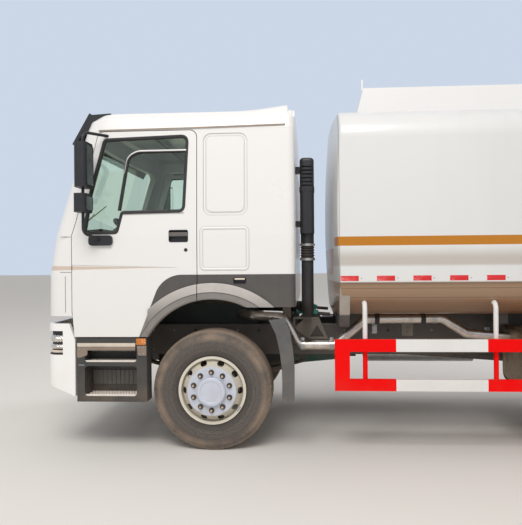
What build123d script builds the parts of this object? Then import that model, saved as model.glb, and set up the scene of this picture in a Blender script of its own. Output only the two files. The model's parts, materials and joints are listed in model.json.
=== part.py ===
from build123d import *
import math
import os

os.makedirs("parts", exist_ok=True)

# Tanker truck: a heavy 6x4 cab-over chassis with a single-compartment road tank.
# Millimetres. +X points to the rear, +Y to the truck's right-hand side, +Z up.
# The origin is on the ground, under the middle of the truck's box.

# Overall layout
overall_length = 10300
front_overhang = 1500
wheelbase = 4600
bogie_spacing = 1350
front_x = -overall_length / 2
rear_x = overall_length / 2
front_axle_x = front_x + front_overhang
middle_axle_x = front_axle_x + wheelbase
rear_axle_x = middle_axle_x + bogie_spacing
body_half_width = 1240
panel_gap = 7
seat_gap = 0.3

# Wheels and tyres
tyre_radius = 535
tyre_tread_width = 236
tyre_bead_radius = 292
front_track = 2022
rear_track = 1830
twin_spacing = 350
rim_flange_radius = 303
rim_width = 262
rim_wall = 14
hand_hole_count = 10
hand_hole_radius = 25
hand_hole_circle_radius = 248
wheel_disc_offset = 165
wheel_z = tyre_radius

# Steering
kingpin_y = 825
kingpin_radius = 24
steering_arm_length = 230
track_rod_radius = 22

# Chassis frame
frame_half_width = 425
frame_flange = 80
frame_height = 300
frame_plate = 9
frame_bottom_z = 745
frame_top_z = frame_bottom_z + frame_height
frame_front_x = front_axle_x - 1370
frame_rear_x = rear_x - 120
subframe_height = 105
subframe_width = 70

# Cab
cab_rear_x = front_axle_x + 750
cab_wall = 60
cab_roof_z = 3035
cab_floor_z = 1375
cab_floor_thickness = 45
cab_front_bottom_z = 1208
door_bottom_z = 1024
cab_rear_corner = 60
gutter_z = 2852

# Each row is one plan section of the cab:
# height, front face behind the front axle, half width, front corner radius, bow of the front face
cab_sections = [
    (door_bottom_z, -1462, 1240, 120, 34),
    (1560, -1458, 1240, 130, 36),
    (1910, -1420, 1240, 190, 44),
    (gutter_z, -1145, 1205, 230, 60),
    (2950, -1108, 1188, 225, 58),
    (3008, -1040, 1140, 220, 56),
    (cab_roof_z, -920, 1050, 200, 50),
]


def behind_axle(distance):
    """X of a point that lies this far behind the front axle."""
    return front_axle_x + distance


def cab_plan(height, front, half_width, corner, bow, inset=0):
    """One plan section of the cab, moved inward by the inset."""
    x_front = behind_axle(front) + inset
    x_rear = cab_rear_x - inset
    y_side = half_width - inset
    with BuildSketch(Plane.XY.offset(height)) as plan:
        with BuildLine():
            ThreePointArc((x_front, -y_side), (x_front - bow, 0), (x_front, y_side))
            Polyline((x_front, y_side), (x_rear, y_side), (x_rear, -y_side), (x_front, -y_side))
        make_face()
        fillet(plan.vertices().group_by(Axis.X)[0], max(corner - inset, 40))
        fillet(plan.vertices().group_by(Axis.X)[-1], max(cab_rear_corner - inset, 20))
    return plan.sketch


def section_at(height):
    """The cab's section between two rows of the table."""
    for low, high in zip(cab_sections, cab_sections[1:]):
        if low[0] <= height <= high[0]:
            share = (height - low[0]) / (high[0] - low[0])
            return tuple(a + share * (b - a) for a, b in zip(low, high))
    raise ValueError("height is outside the cab")


def cab_form(inset, bottom, top):
    """The cab's closed form between two heights, moved inward by the inset."""
    heights = [bottom] + [row[0] for row in cab_sections if bottom < row[0] < top] + [top]
    with BuildPart() as form:
        sections = [cab_plan(*section_at(height), inset) for height in heights]
        loft(sections=sections, ruled=True)
    return form.part


def side_profile(points, radii=None):
    """A closed outline seen from the side, from distances behind the front axle and heights."""
    with BuildSketch() as outline:
        with BuildLine():
            Polyline([(behind_axle(x), z) for x, z in points], close=True)
        make_face()
        for index, radius in (radii or {}).items():
            x, z = points[index]
            corner = outline.vertices().sort_by_distance((behind_axle(x), z))[0]
            fillet(corner, radius)
    return outline.sketch


def pocket(bounds, corner, y_from, y_to):
    """A rounded box seen from the side, from front, rear, bottom and top, between two Y."""
    front, rear, bottom, top = bounds
    with BuildPart() as space:
        with BuildSketch(Plane.XZ.offset(-y_to)):
            with Locations((behind_axle((front + rear) / 2), (bottom + top) / 2)):
                RectangleRounded(rear - front, top - bottom, corner)
        extrude(amount=y_to - y_from)
    return space.part


def side_prism(sketch, y_from, y_to):
    """A side outline given width, from one Y to another."""
    with BuildPart() as prism:
        with BuildSketch(Plane.XZ.offset(-y_to)):
            add(sketch)
        extrude(amount=y_to - y_from)
    return prism.part


# Side outlines of the cab: distance behind the front axle, height
door_rear = -112
door_outline = [
    (-1206, door_bottom_z),
    (-1224, 1250),
    (-1224, 1915),
    (-1182, 2050),
    (-985, 2836),
    (door_rear, 2836),
    (door_rear, door_bottom_z),
]
window_outline = [
    (-1111, 1943),
    (-1058, 2284),
    (-930, 2763),
    (-193, 2785),
    (-228, 2128),
    (-776, 2120),
    (-822, 1943),
]
window_corners = {0: 30, 2: 45, 3: 55, 4: 50, 5: 25, 6: 30}
arch_x = 20
arch_z = 690
arch_opening_radius = 660
arch_lip_radius = 805
arch_lip_proud = 20
trim_top_z = 1568
trim_bottom_z = 1281
trim_outline = [
    (-627, door_bottom_z),
    (-415, trim_top_z),
    (760, trim_top_z),
    (760, trim_bottom_z),
    (300, trim_bottom_z),
    (300, door_bottom_z),
]
trim_corner_radius = 250

# Pressings beside the door, seen from the side. Each row: front, rear, bottom, top, corner radius, border
side_pressings = [
    (-56, 340, 2080, 2809, 75, 30),
    (-81, 349, 1603, 1985, 45, 15),
]
pressing_depth = 7
pressing_slope = 35
pressing_reach = 5
pressing_span = 100

# Styling crease on the door, the pocket of its handle and the grip in the trim
crease_outline = [(-1300, 1663), (-273, 1632), (-1300, 1601)]
crease_depth = 5
handle_pocket = (-352, -190, 1857, 1955)
handle_pocket_depth = 26
handle_pocket_corner = 14
handle_bar = (-354, -188, 1904, 1938)
grip_pocket = (214, 318, 1490, 1538)
grip_pocket_depth = 22

# Drip rail over the doors: distance behind the front axle, height of its lower edge
drip_rail_line = [(-983, 2845), (-130, 2853), (670, 2867)]
drip_rail_height = 8
drip_rail_proud = 8
drip_rail_root = 20

door_face = side_profile(door_outline, {4: 60, 5: 60})
window_face = side_profile(window_outline, window_corners)
trim_face = side_profile(trim_outline, {1: trim_corner_radius})
side_reach = 1400

with BuildPart() as arch_space:
    with BuildSketch(Plane.XZ.offset(-side_reach)):
        with Locations((behind_axle(arch_x), arch_z)):
            Circle(arch_opening_radius)
    extrude(amount=2 * side_reach)

# The cab's walls: the outer form less the same form moved inward by the wall
roof_thickness = 50
cab_outer = cab_form(0, door_bottom_z, cab_roof_z)
cab_inner = cab_form(cab_wall, door_bottom_z, cab_roof_z - roof_thickness)
front_panel_end = -1190
with BuildPart() as cab_walls:
    add(cab_outer)
    add(cab_inner, mode=Mode.SUBTRACT)
    add(arch_space.part, mode=Mode.SUBTRACT)
    with BuildSketch(Plane.XZ.offset(-side_reach)):
        with Locations((behind_axle(trim_outline[4][0]), door_bottom_z)):
            Rectangle(500, trim_bottom_z - door_bottom_z, align=(Align.MIN, Align.MIN))
    extrude(amount=2 * side_reach, mode=Mode.SUBTRACT)

door_depth_y = 1100
door_prism = side_prism(door_face, -side_reach, -door_depth_y)
trim_prism = side_prism(trim_face, -side_reach, -(body_half_width - cab_wall))
window_prism = side_prism(window_face, -side_reach, -door_depth_y)
with BuildPart() as door_cut:
    with BuildSketch(Plane.XZ.offset(door_depth_y)):
        add(door_face)
        offset(amount=panel_gap, kind=Kind.INTERSECTION)
    extrude(amount=side_reach - door_depth_y)

# Windscreen opening: half width, bottom and top
windscreen_half_width = 1075
windscreen_bottom_z = 1985
windscreen_top_z = 2800
windscreen_corner = 90
glass_depth = 14
glass_thickness = 6
with BuildPart() as windscreen_prism:
    with BuildSketch(Plane.YZ.offset(front_x - 50)):
        with Locations((0, (windscreen_bottom_z + windscreen_top_z) / 2)):
            RectangleRounded(
                2 * windscreen_half_width, windscreen_top_z - windscreen_bottom_z, windscreen_corner
            )
    extrude(amount=front_overhang - 950)

# Pressed borders in the left side face: a groove with sloping walls round a field at full height
with BuildPart() as side_grooves:
    for front, rear, bottom, top, corner, border in side_pressings:
        middle_z = (bottom + top) / 2
        low_y = section_at(middle_z - pressing_span)[2]
        high_y = section_at(middle_z + pressing_span)[2]
        face = Plane(
            origin=(behind_axle((front + rear) / 2), -(low_y + high_y) / 2, middle_z),
            x_dir=(1, 0, 0),
            z_dir=(0, -2 * pressing_span, low_y - high_y),
        )
        with BuildSketch(face.offset(pressing_reach)):
            RectangleRounded(rear - front, top - bottom, corner)
        extrude(amount=-pressing_depth - pressing_reach, taper=pressing_slope)
        with BuildSketch(face.offset(-pressing_depth - 1)):
            RectangleRounded(rear - front - 2 * border, top - bottom - 2 * border, corner - border / 2)
        extrude(amount=pressing_depth + pressing_reach + 2, taper=pressing_slope, mode=Mode.SUBTRACT)

# Drip rail: a bead along the roof's joint, proud of both sides
with BuildPart() as drip_rail:
    add(cab_form(-drip_rail_proud, gutter_z - 80, gutter_z + 90))
    add(cab_form(drip_rail_root, gutter_z - 80, gutter_z + 90), mode=Mode.SUBTRACT)
    with BuildSketch(Plane.XZ.offset(-side_reach)):
        with BuildLine():
            low = [(behind_axle(x), z) for x, z in drip_rail_line]
            Polyline(low + [(x, z + drip_rail_height) for x, z in low[::-1]], close=True)
        make_face()
    extrude(amount=2 * side_reach, mode=Mode.INTERSECT)

# Service lid in the front panel: half width, bottom and top
lid_half_width = 1040
lid_bottom_z = 1300
lid_top_z = 1870
lid_thickness = 28
lid_corner = 40
lid_gap = 10
lid_back_gap = 8
grille_count = 4
grille_pitch = 78
grille_slot = 50
grille_middle_z = 1640
grille_half_width = 780
grille_depth = 14
with BuildPart() as lid_prism:
    with BuildSketch(Plane.YZ.offset(front_x - 50)):
        with Locations((0, (lid_bottom_z + lid_top_z) / 2)):
            RectangleRounded(2 * lid_half_width, lid_top_z - lid_bottom_z, lid_corner)
    extrude(amount=300)
with BuildPart() as lid_pocket:
    with BuildSketch(Plane.YZ.offset(front_x - 50)):
        with Locations((0, (lid_bottom_z + lid_top_z) / 2)):
            RectangleRounded(
                2 * (lid_half_width + lid_gap), lid_top_z - lid_bottom_z + 2 * lid_gap, lid_corner + lid_gap
            )
    extrude(amount=300)
    add(cab_form(lid_thickness + lid_back_gap, door_bottom_z, 2100), mode=Mode.SUBTRACT)

# Footwells beside the engine tunnel, open towards the doors
footwell_front = -1235
footwell_rear = -650
footwell_inner_y = 430
footwell_outer_y = 1170
footwell_floor_z = 1090
footwell_wall = 40
footwell_length = footwell_rear - footwell_front
footwell_width = footwell_outer_y - footwell_inner_y
floor_front = -1440
floor_rear = 720

# Tilt pivot on the frame's front ends, and the arms that carry the cab's floor on it
pivot_x = behind_axle(-1405)
pivot_z = 1040
pivot_pin_radius = 16
pivot_fit = 0.05
pivot_eye_radius = 30
pivot_plate_y = (388, frame_half_width - frame_plate)
pivot_arm_y = (357, pivot_plate_y[0] - seat_gap)
pivot_arm_top = cab_floor_z - pivot_z
pivot_arm_outline = [(-22, 20), (70, 115), (70, pivot_arm_top), (130, pivot_arm_top), (130, 105), (28, 10)]

# Each row is one strip of a door stop: from, to, bottom, clearance behind the door or bite into the wall
door_stop_thickness = 14
door_stop_top_z = 2790
door_stop_rows = [
    (door_rear - 22, door_rear + panel_gap + 25, 1440, seat_gap),
    (door_rear + panel_gap, door_rear + panel_gap + 25, 1580, -2),
]

# Ribs in the rear wall
rear_rib_pitch = 380
rear_rib_count = 5
rear_rib_size = (230, 900)
rear_rib_z = 2150
rear_rib_corner = 90
rear_rib_depth = 8

# Rubber buffers that the shut service lid rests on
buffer_radius = 16
buffer_z = 1345
with BuildPart() as lid_buffers:
    with BuildSketch(Plane.YZ.offset(front_x)):
        for y in (-900, -300, 300, 900):
            with Locations((y, buffer_z)):
                Circle(buffer_radius)
    extrude(amount=behind_axle(cab_sections[0][1]) + cab_wall - 10 - front_x)
    add(cab_form(lid_thickness + seat_gap, door_bottom_z, 2100), mode=Mode.INTERSECT)
# The cab's shell is four panels that meet at narrow seams: roof, front frame, rear wall with the
# side panels, and floor pan with the footwells
roof_seam_z = door_outline[4][1] + panel_gap
with BuildPart() as cab_panels:
    add(cab_walls.part)
    add(door_cut.part, mode=Mode.SUBTRACT)
    mirror(door_cut.part, about=Plane.XZ, mode=Mode.SUBTRACT)
    add(trim_prism, mode=Mode.SUBTRACT)
    mirror(trim_prism, about=Plane.XZ, mode=Mode.SUBTRACT)
    add(windscreen_prism.part, mode=Mode.SUBTRACT)
    add(lid_pocket.part, mode=Mode.SUBTRACT)
    with BuildSketch(Plane.XZ.offset(-side_reach)):
        with Locations((behind_axle(front_panel_end), door_bottom_z)):
            Rectangle(500, cab_front_bottom_z - door_bottom_z, align=(Align.MAX, Align.MIN))
    extrude(amount=2 * side_reach, mode=Mode.SUBTRACT)
    # door stops: a flange inside each door's rear edge that the shut door rests on
    for side in (-1, 1):
        for x_from, x_to, bottom, clearance in door_stop_rows:
            heights = (bottom, cab_sections[2][0], door_stop_top_z)
            outer = [(side * (section_at(z)[2] - cab_wall - clearance), z) for z in heights]
            inner = [(side * (section_at(z)[2] - cab_wall - door_stop_thickness), z) for z in heights]
            with BuildSketch(Plane.YZ.offset(behind_axle(x_from))):
                with BuildLine():
                    Polyline(outer + inner[::-1], close=True)
                make_face()
            extrude(amount=x_to - x_from)
    add(lid_buffers.part)
    add(side_grooves.part, mode=Mode.SUBTRACT)
    mirror(side_grooves.part, about=Plane.XZ, mode=Mode.SUBTRACT)
    add(drip_rail.part)
    # upright ribs pressed into the rear wall
    with BuildSketch(Plane.YZ.offset(cab_rear_x + 1)):
        with GridLocations(rear_rib_pitch, rear_rib_pitch, rear_rib_count, 1):
            with Locations((0, rear_rib_z)):
                RectangleRounded(rear_rib_size[0], rear_rib_size[1], rear_rib_corner)
    extrude(amount=-rear_rib_depth - 1, taper=pressing_slope, mode=Mode.SUBTRACT)
    # seam under the roof
    with BuildSketch(Plane.XY.offset(roof_seam_z)):
        with Locations((front_axle_x, 0)):
            Rectangle(2 * side_reach + 1000, 2 * side_reach)
    extrude(amount=-seat_gap, mode=Mode.SUBTRACT)
with BuildPart() as floor_pan:
    with BuildSketch(Plane.XY.offset(cab_floor_z)):
        with Locations((behind_axle(floor_front), 0)):
            Rectangle(floor_rear - floor_front, 2 * footwell_outer_y, align=(Align.MIN, Align.CENTER))
        for side in (-1, 1):
            with Locations((behind_axle(footwell_front), side * (footwell_inner_y + footwell_width / 2))):
                Rectangle(
                    footwell_length,
                    footwell_width,
                    align=(Align.MIN, Align.CENTER),
                    mode=Mode.SUBTRACT,
                )
    extrude(amount=cab_floor_thickness)
    for side in (-1, 1):
        middle_y = side * (footwell_inner_y + footwell_width / 2)
        with BuildSketch(Plane.XY.offset(footwell_floor_z)):
            with Locations((behind_axle(footwell_front), middle_y)):
                Rectangle(footwell_length, footwell_width, align=(Align.MIN, Align.CENTER))
        extrude(amount=footwell_wall)
        with BuildSketch(Plane.XY.offset(footwell_floor_z)):
            with Locations((behind_axle(footwell_front), middle_y)):
                Rectangle(footwell_wall, footwell_width, align=(Align.MIN, Align.CENTER))
            with Locations((behind_axle(footwell_rear), middle_y)):
                Rectangle(footwell_wall, footwell_width, align=(Align.MAX, Align.CENTER))
            with Locations((behind_axle(footwell_front), side * (footwell_inner_y + footwell_wall / 2))):
                Rectangle(footwell_length, footwell_wall, align=(Align.MIN, Align.CENTER))
        extrude(amount=cab_floor_z + cab_floor_thickness - footwell_floor_z)
    add(cab_form(cab_wall + seat_gap, door_bottom_z, 2100), mode=Mode.INTERSECT)
    # arms from the floor down to the tilt pivot, leaning back to clear the bumper
    for side in (-1, 1):
        with BuildSketch(Plane.XZ.offset(-side * pivot_arm_y[1])):
            with BuildLine():
                Polyline([(pivot_x + x, pivot_z + z) for x, z in pivot_arm_outline], close=True)
            make_face()
            with Locations((pivot_x, pivot_z)):
                Circle(pivot_eye_radius)
                Circle(pivot_pin_radius + pivot_fit, mode=Mode.SUBTRACT)
        extrude(amount=side * (pivot_arm_y[1] - pivot_arm_y[0]))
with BuildPart() as cab_shell:
    add(cab_panels.part)
    add(floor_pan.part)
cab_shell.part.label = "cab_shell"

# Charcoal side trim over the rear half of the wheel arch

def arch_lip(x_from, x_to, bottom):
    """The proud lip round the arch on the left side, between two stations."""
    with BuildPart() as lip:
        with BuildSketch(Plane.XZ.offset(body_half_width)):
            with Locations((behind_axle(arch_x), arch_z)):
                Circle(arch_lip_radius)
                Circle(arch_opening_radius, mode=Mode.SUBTRACT)
            with Locations((behind_axle(x_from), bottom)):
                Rectangle(x_to - x_from, 2000, align=(Align.MIN, Align.MIN), mode=Mode.INTERSECT)
        extrude(amount=arch_lip_proud)
        chamfer(lip.faces().sort_by(Axis.Y)[0].edges().filter_by(GeomType.CIRCLE), arch_lip_proud / 2)
    return lip.part


with BuildPart() as trim_rear:
    add(cab_walls.part)
    add(trim_prism, mode=Mode.INTERSECT)
    with BuildSketch(Plane.XZ.offset(-side_reach)):
        with Locations((behind_axle(door_rear + panel_gap), door_bottom_z)):
            Rectangle(1500, 1500, align=(Align.MIN, Align.MIN))
    extrude(amount=2 * side_reach, mode=Mode.INTERSECT)
    add(arch_lip(door_rear + panel_gap, 700, trim_bottom_z))
    add(pocket(grip_pocket, 12, -side_reach, -body_half_width + grip_pocket_depth), mode=Mode.SUBTRACT)
with BuildPart() as arch_trims:
    add(trim_rear.part)
    mirror(trim_rear.part, about=Plane.XZ)
arch_trims.part.label = "arch_trims"

with BuildPart() as trim_left:
    add(cab_walls.part)
    add(trim_prism, mode=Mode.INTERSECT)
    add(door_prism, mode=Mode.INTERSECT)
    add(arch_lip(-545, door_rear, door_bottom_z))
trim_left.part.label = "door_trim_left"

# Doors: the wall inside the door outline, less the trim and the window
with BuildPart() as door_left:
    add(cab_walls.part)
    add(door_prism, mode=Mode.INTERSECT)
    add(trim_prism, mode=Mode.SUBTRACT)
    add(window_prism, mode=Mode.SUBTRACT)
    add(
        side_prism(side_profile(crease_outline), -side_reach, -body_half_width + crease_depth),
        mode=Mode.SUBTRACT,
    )
    add(
        pocket(handle_pocket, handle_pocket_corner, -side_reach, -body_half_width + handle_pocket_depth),
        mode=Mode.SUBTRACT,
    )
    add(pocket(handle_bar, 6, -body_half_width, -body_half_width + handle_pocket_depth / 2))
door_left.part.label = "door_left"

# Glass: a thin skin of the cab's form, a little inside the outer face
glass_skin = cab_form(glass_depth, windscreen_bottom_z - 100, windscreen_top_z + 20) - cab_form(
    glass_depth + glass_thickness, windscreen_bottom_z - 100, windscreen_top_z + 20
)
with BuildPart() as windscreen:
    add(glass_skin)
    add(windscreen_prism.part, mode=Mode.INTERSECT)
windscreen.part.label = "windscreen"
with BuildPart() as door_glass_left:
    add(glass_skin)
    add(window_prism, mode=Mode.INTERSECT)
door_glass_left.part.label = "door_glass_left"

# Slots of the grille, down to a floor behind the lid's outer face
with BuildPart() as grille_slots:
    with BuildSketch(Plane.YZ.offset(front_x - 50)):
        with GridLocations(grille_pitch, grille_pitch, 1, grille_count):
            with Locations((0, grille_middle_z)):
                RectangleRounded(2 * grille_half_width, grille_slot, grille_slot / 2 - 2)
    extrude(amount=300)
    add(cab_form(grille_depth, door_bottom_z, 2100), mode=Mode.SUBTRACT)

# Service lid: the outer skin of the front panel
with BuildPart() as front_lid:
    add(cab_outer)
    add(cab_form(lid_thickness, door_bottom_z, 2100), mode=Mode.SUBTRACT)
    add(lid_prism.part, mode=Mode.INTERSECT)
    add(grille_slots.part, mode=Mode.SUBTRACT)
front_lid.part.label = "front_lid"

with BuildPart() as door_right:
    mirror(door_left.part, about=Plane.XZ)
door_right.part.label = "door_right"
with BuildPart() as trim_right:
    mirror(trim_left.part, about=Plane.XZ)
trim_right.part.label = "door_trim_right"
with BuildPart() as door_glass_right:
    mirror(door_glass_left.part, about=Plane.XZ)
door_glass_right.part.label = "door_glass_right"

# Mirrors on the left door: a bent tube with two housings, and its foot on the door
mirror_tube_radius = 13
mirror_y = 1425
mirror_width = 190
mirror_depth = 110
mirror_bend = 60
mirror_housings = [(-1038, 2315, 2694), (-1044, 2105, 2262)]
mirror_foot = (-960, 1873)
mirror_foot_size = (210, 90)
mirror_top_joint = (-905, 2800)
with BuildPart() as mirror_left:
    with BuildLine():
        mirror_path = FilletPolyline(
            (behind_axle(mirror_foot[0]), -body_half_width, mirror_foot[1]),
            (behind_axle(-1045), -mirror_y, mirror_foot[1] + 60),
            (behind_axle(-1045), -mirror_y, 2790),
            (behind_axle(mirror_top_joint[0]), -1203, mirror_top_joint[1]),
            radius=mirror_bend,
        )
    with BuildSketch(Plane(origin=mirror_path @ 0, z_dir=mirror_path % 0)):
        Circle(mirror_tube_radius)
    sweep()
    for x, bottom, top in mirror_housings:
        with BuildSketch(Plane.XY.offset(bottom)):
            with Locations((behind_axle(x), -mirror_y)):
                RectangleRounded(mirror_depth, mirror_width, 40)
        extrude(amount=top - bottom)
    with BuildSketch(Plane.XZ.offset(body_half_width)):
        with Locations((behind_axle(mirror_foot[0]), mirror_foot[1])):
            RectangleRounded(mirror_foot_size[0], mirror_foot_size[1], 30)
    extrude(amount=26)
    add(cab_outer, mode=Mode.SUBTRACT)
mirror_left.part.label = "mirror_left"
with BuildPart() as mirror_right:
    mirror(mirror_left.part, about=Plane.XZ)
mirror_right.part.label = "mirror_right"

# Sun visor over the windscreen, on three fins that sit on the roof
visor_profile = [(-1290, 2765), (-1262, 2748), (-1100, 3030), (-1128, 3046)]
visor_half_width = 1060
visor_fin = [(-1190, 2880), (-1110, 3030), (-930, 3040), (-930, 2990), (-1040, 2860)]
visor_fin_width = 30
with BuildPart() as sun_visor:
    with BuildSketch(Plane.XZ.offset(-visor_half_width)):
        add(side_profile(visor_profile))
    extrude(amount=2 * visor_half_width)
    for y in (-visor_half_width + visor_fin_width, 0, visor_half_width):
        with BuildSketch(Plane.XZ.offset(-y)):
            add(side_profile(visor_fin))
        extrude(amount=visor_fin_width)
    add(cab_outer, mode=Mode.SUBTRACT)
sun_visor.part.label = "sun_visor"

# Air intake stack on the cab's rear left corner
stack_x = 853
stack_y = -950
stack_size = (128, 190)
stack_bottom_z = 1838
stack_top_z = 2610
stack_mouth_z = 2350
with BuildPart() as snorkel:
    with BuildSketch(Plane.XY.offset(stack_bottom_z + 90)):
        with Locations((behind_axle(stack_x), stack_y)):
            RectangleRounded(stack_size[0], stack_size[1], 40)
    extrude(amount=stack_top_z - stack_bottom_z - 90)
    fillet(snorkel.faces().sort_by(Axis.Z)[-1].edges(), 30)
    with BuildSketch(Plane.XY.offset(stack_bottom_z)):
        with Locations((behind_axle(stack_x), stack_y)):
            Circle(60)
    extrude(amount=90)
    for z in (1990, 2480):
        with BuildSketch(Plane.XY.offset(z)):
            with Locations((behind_axle(750), stack_y)):
                Rectangle(60, 120, align=(Align.MIN, Align.CENTER))
        extrude(amount=50)
    for step in range(6):
        with BuildSketch(Plane.XY.offset(stack_mouth_z + 34 * step)):
            with Locations((behind_axle(stack_x), stack_y)):
                Rectangle(90, stack_size[1] + 2)
        extrude(amount=14, mode=Mode.SUBTRACT)
snorkel.part.label = "snorkel"

# Bellows and elbow below the stack, on the chassis
bellows_pitch = 24
bellows_count = 6
bellows_radius = 66
intake_radius = 55
bellows_bottom_z = stack_bottom_z - seat_gap - bellows_count * bellows_pitch
intake_low_z = 1220
# Engine as a plain mass: front, rear, half width, bottom, top
engine_box = (-700, 340, 320, 565, 1320)
with BuildPart() as air_intake:
    with BuildSketch(Plane.XZ.offset(-stack_y)):
        with BuildLine():
            points = [(behind_axle(stack_x), bellows_bottom_z)]
            for step in range(bellows_count):
                foot = bellows_bottom_z + step * bellows_pitch
                points += [
                    (behind_axle(stack_x) + intake_radius, foot),
                    (behind_axle(stack_x) + bellows_radius, foot + bellows_pitch / 2),
                ]
            top = bellows_bottom_z + bellows_count * bellows_pitch
            points += [(behind_axle(stack_x) + intake_radius, top), (behind_axle(stack_x), top)]
            Polyline(points, close=True)
        make_face()
    revolve(axis=Axis((behind_axle(stack_x), stack_y, 0), (0, 0, 1)))
    with BuildLine():
        elbow = FilletPolyline(
            (behind_axle(stack_x), stack_y, bellows_bottom_z),
            (behind_axle(stack_x), stack_y, intake_low_z),
            (behind_axle(stack_x), -400, intake_low_z),
            (behind_axle(engine_box[1]), -180, intake_low_z),
            radius=140,
        )
    with BuildSketch(Plane(origin=elbow @ 0, z_dir=elbow % 0)):
        Circle(intake_radius)
    sweep()
    split(bisect_by=Plane.YZ.offset(behind_axle(engine_box[1])), keep=Keep.TOP)
air_intake.part.label = "air_intake"

# Interior seen through the glass
seat_x = -190
seat_pitch_y = 640
seat_base_z = 1640
with BuildPart() as seats:
    for side in (-1, 1):
        with BuildSketch(Plane.XZ.offset(-side * seat_pitch_y - 240)):
            with BuildLine():
                Polyline(
                    (behind_axle(seat_x - 470), 1640),
                    (behind_axle(seat_x - 470), 1770),
                    (behind_axle(seat_x - 90), 1770),
                    (behind_axle(seat_x + 60), 2430),
                    (behind_axle(seat_x + 170), 2410),
                    (behind_axle(seat_x + 60), 1700),
                    (behind_axle(seat_x + 10), 1640),
                    close=True,
                )
            make_face()
        extrude(amount=480)
        with BuildSketch(Plane.XY.offset(cab_floor_z + cab_floor_thickness)):
            with Locations((behind_axle(seat_x - 220), side * seat_pitch_y)):
                Rectangle(340, 340)
        extrude(amount=seat_base_z - cab_floor_z - cab_floor_thickness)
        with BuildSketch(Plane.XY.offset(2400)):
            with Locations((behind_axle(seat_x + 110), side * seat_pitch_y)):
                RectangleRounded(90, 260, 30)
        extrude(amount=230)
seats.part.label = "seats"

with BuildPart() as sleeper_bunk:
    with BuildSketch(Plane.XY.offset(cab_floor_z + cab_floor_thickness)):
        with Locations((behind_axle(250), 0)):
            Rectangle(438, 2240, align=(Align.MIN, Align.CENTER))
    extrude(amount=330)
    fillet(sleeper_bunk.edges().filter_by(Axis.Y).group_by(Axis.Z)[-1], 40)
sleeper_bunk.part.label = "sleeper_bunk"

# Dashboard over its console, and steering wheel
dash_bottom_z = 1500
with BuildPart() as dash_panel:
    with BuildSketch(Plane.XZ.offset(-1100)):
        with BuildLine():
            Polyline(
                (behind_axle(-1385), dash_bottom_z),
                (behind_axle(-1345), 1890),
                (behind_axle(-1060), 1905),
                (behind_axle(-980), 1800),
                (behind_axle(-1080), dash_bottom_z),
                close=True,
            )
        make_face()
    extrude(amount=2200)
    with BuildSketch(Plane.XY.offset(cab_floor_z + cab_floor_thickness)):
        with Locations((behind_axle(-1250), 0)):
            Rectangle(180, 600)
    extrude(amount=dash_bottom_z - seat_gap - cab_floor_z - cab_floor_thickness)
    add(cab_form(cab_wall, door_bottom_z, 2100), mode=Mode.INTERSECT)
wheel_centre = (behind_axle(-850), -seat_pitch_y, 1960)
column_plane = Plane(origin=wheel_centre, z_dir=(0.62, 0, 0.78))
with BuildPart() as steering_wheel:
    with BuildSketch(Plane(origin=wheel_centre, x_dir=column_plane.z_dir, z_dir=(0, 1, 0))):
        with Locations((0, 225)):
            Circle(16)
    revolve(axis=Axis(wheel_centre, column_plane.z_dir))
    with BuildSketch(column_plane):
        Circle(55)
        Rectangle(440, 36)
    extrude(amount=20, both=True)
    with BuildSketch(column_plane):
        Circle(30)
    extrude(amount=-300)
with BuildPart() as dashboard:
    add(dash_panel.part)
    add(steering_wheel.part)
dashboard.part.label = "dashboard"

# Front bumper: a bowed shell with wrapped corners
bumper_bottom_z = 500
bumper_top_z = 1140
bumper_wall = 40
bumper_return = -1202
bumper_section = (-1464, body_half_width, 112, 36)
bumper_side = [
    (-1600, 600),
    (-1440, 600),
    (bumper_return, bumper_bottom_z),
    (bumper_return, 996),
    (-1255, bumper_top_z),
    (-1600, bumper_top_z),
]
bumper_stay_length = 100
bumper_stay_width = frame_flange - 10
bumper_stay_height = 110
lamp_recess = (-1312, 700, 866, 1076)
bumper_slot_count = 3
bumper_slot_pitch = 78
bumper_slot_height = 46
bumper_slot_half_width = 430
bumper_slot_z = 705


def bumper_plan(inset):
    """The bumper's plan, moved inward by the inset, closed far behind its returns."""
    front, half_width, corner, bow = bumper_section
    x_front = behind_axle(front) + inset
    y_side = half_width - inset
    with BuildSketch() as plan:
        with BuildLine():
            ThreePointArc((x_front, -y_side), (x_front - bow, 0), (x_front, y_side))
            Polyline(
                (x_front, y_side),
                (behind_axle(bumper_return), y_side),
                (behind_axle(bumper_return), -y_side),
                (x_front, -y_side),
            )
        make_face()
        fillet(plan.vertices().group_by(Axis.X)[0], max(corner - inset, 30))
    return plan.sketch


def bumper_form(inset):
    """The closed bumper form, moved inward by the inset."""
    with BuildPart() as form:
        with BuildSketch(Plane.XY.offset(bumper_bottom_z)):
            add(bumper_plan(inset))
        extrude(amount=bumper_top_z - bumper_bottom_z)
    return form.part


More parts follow.
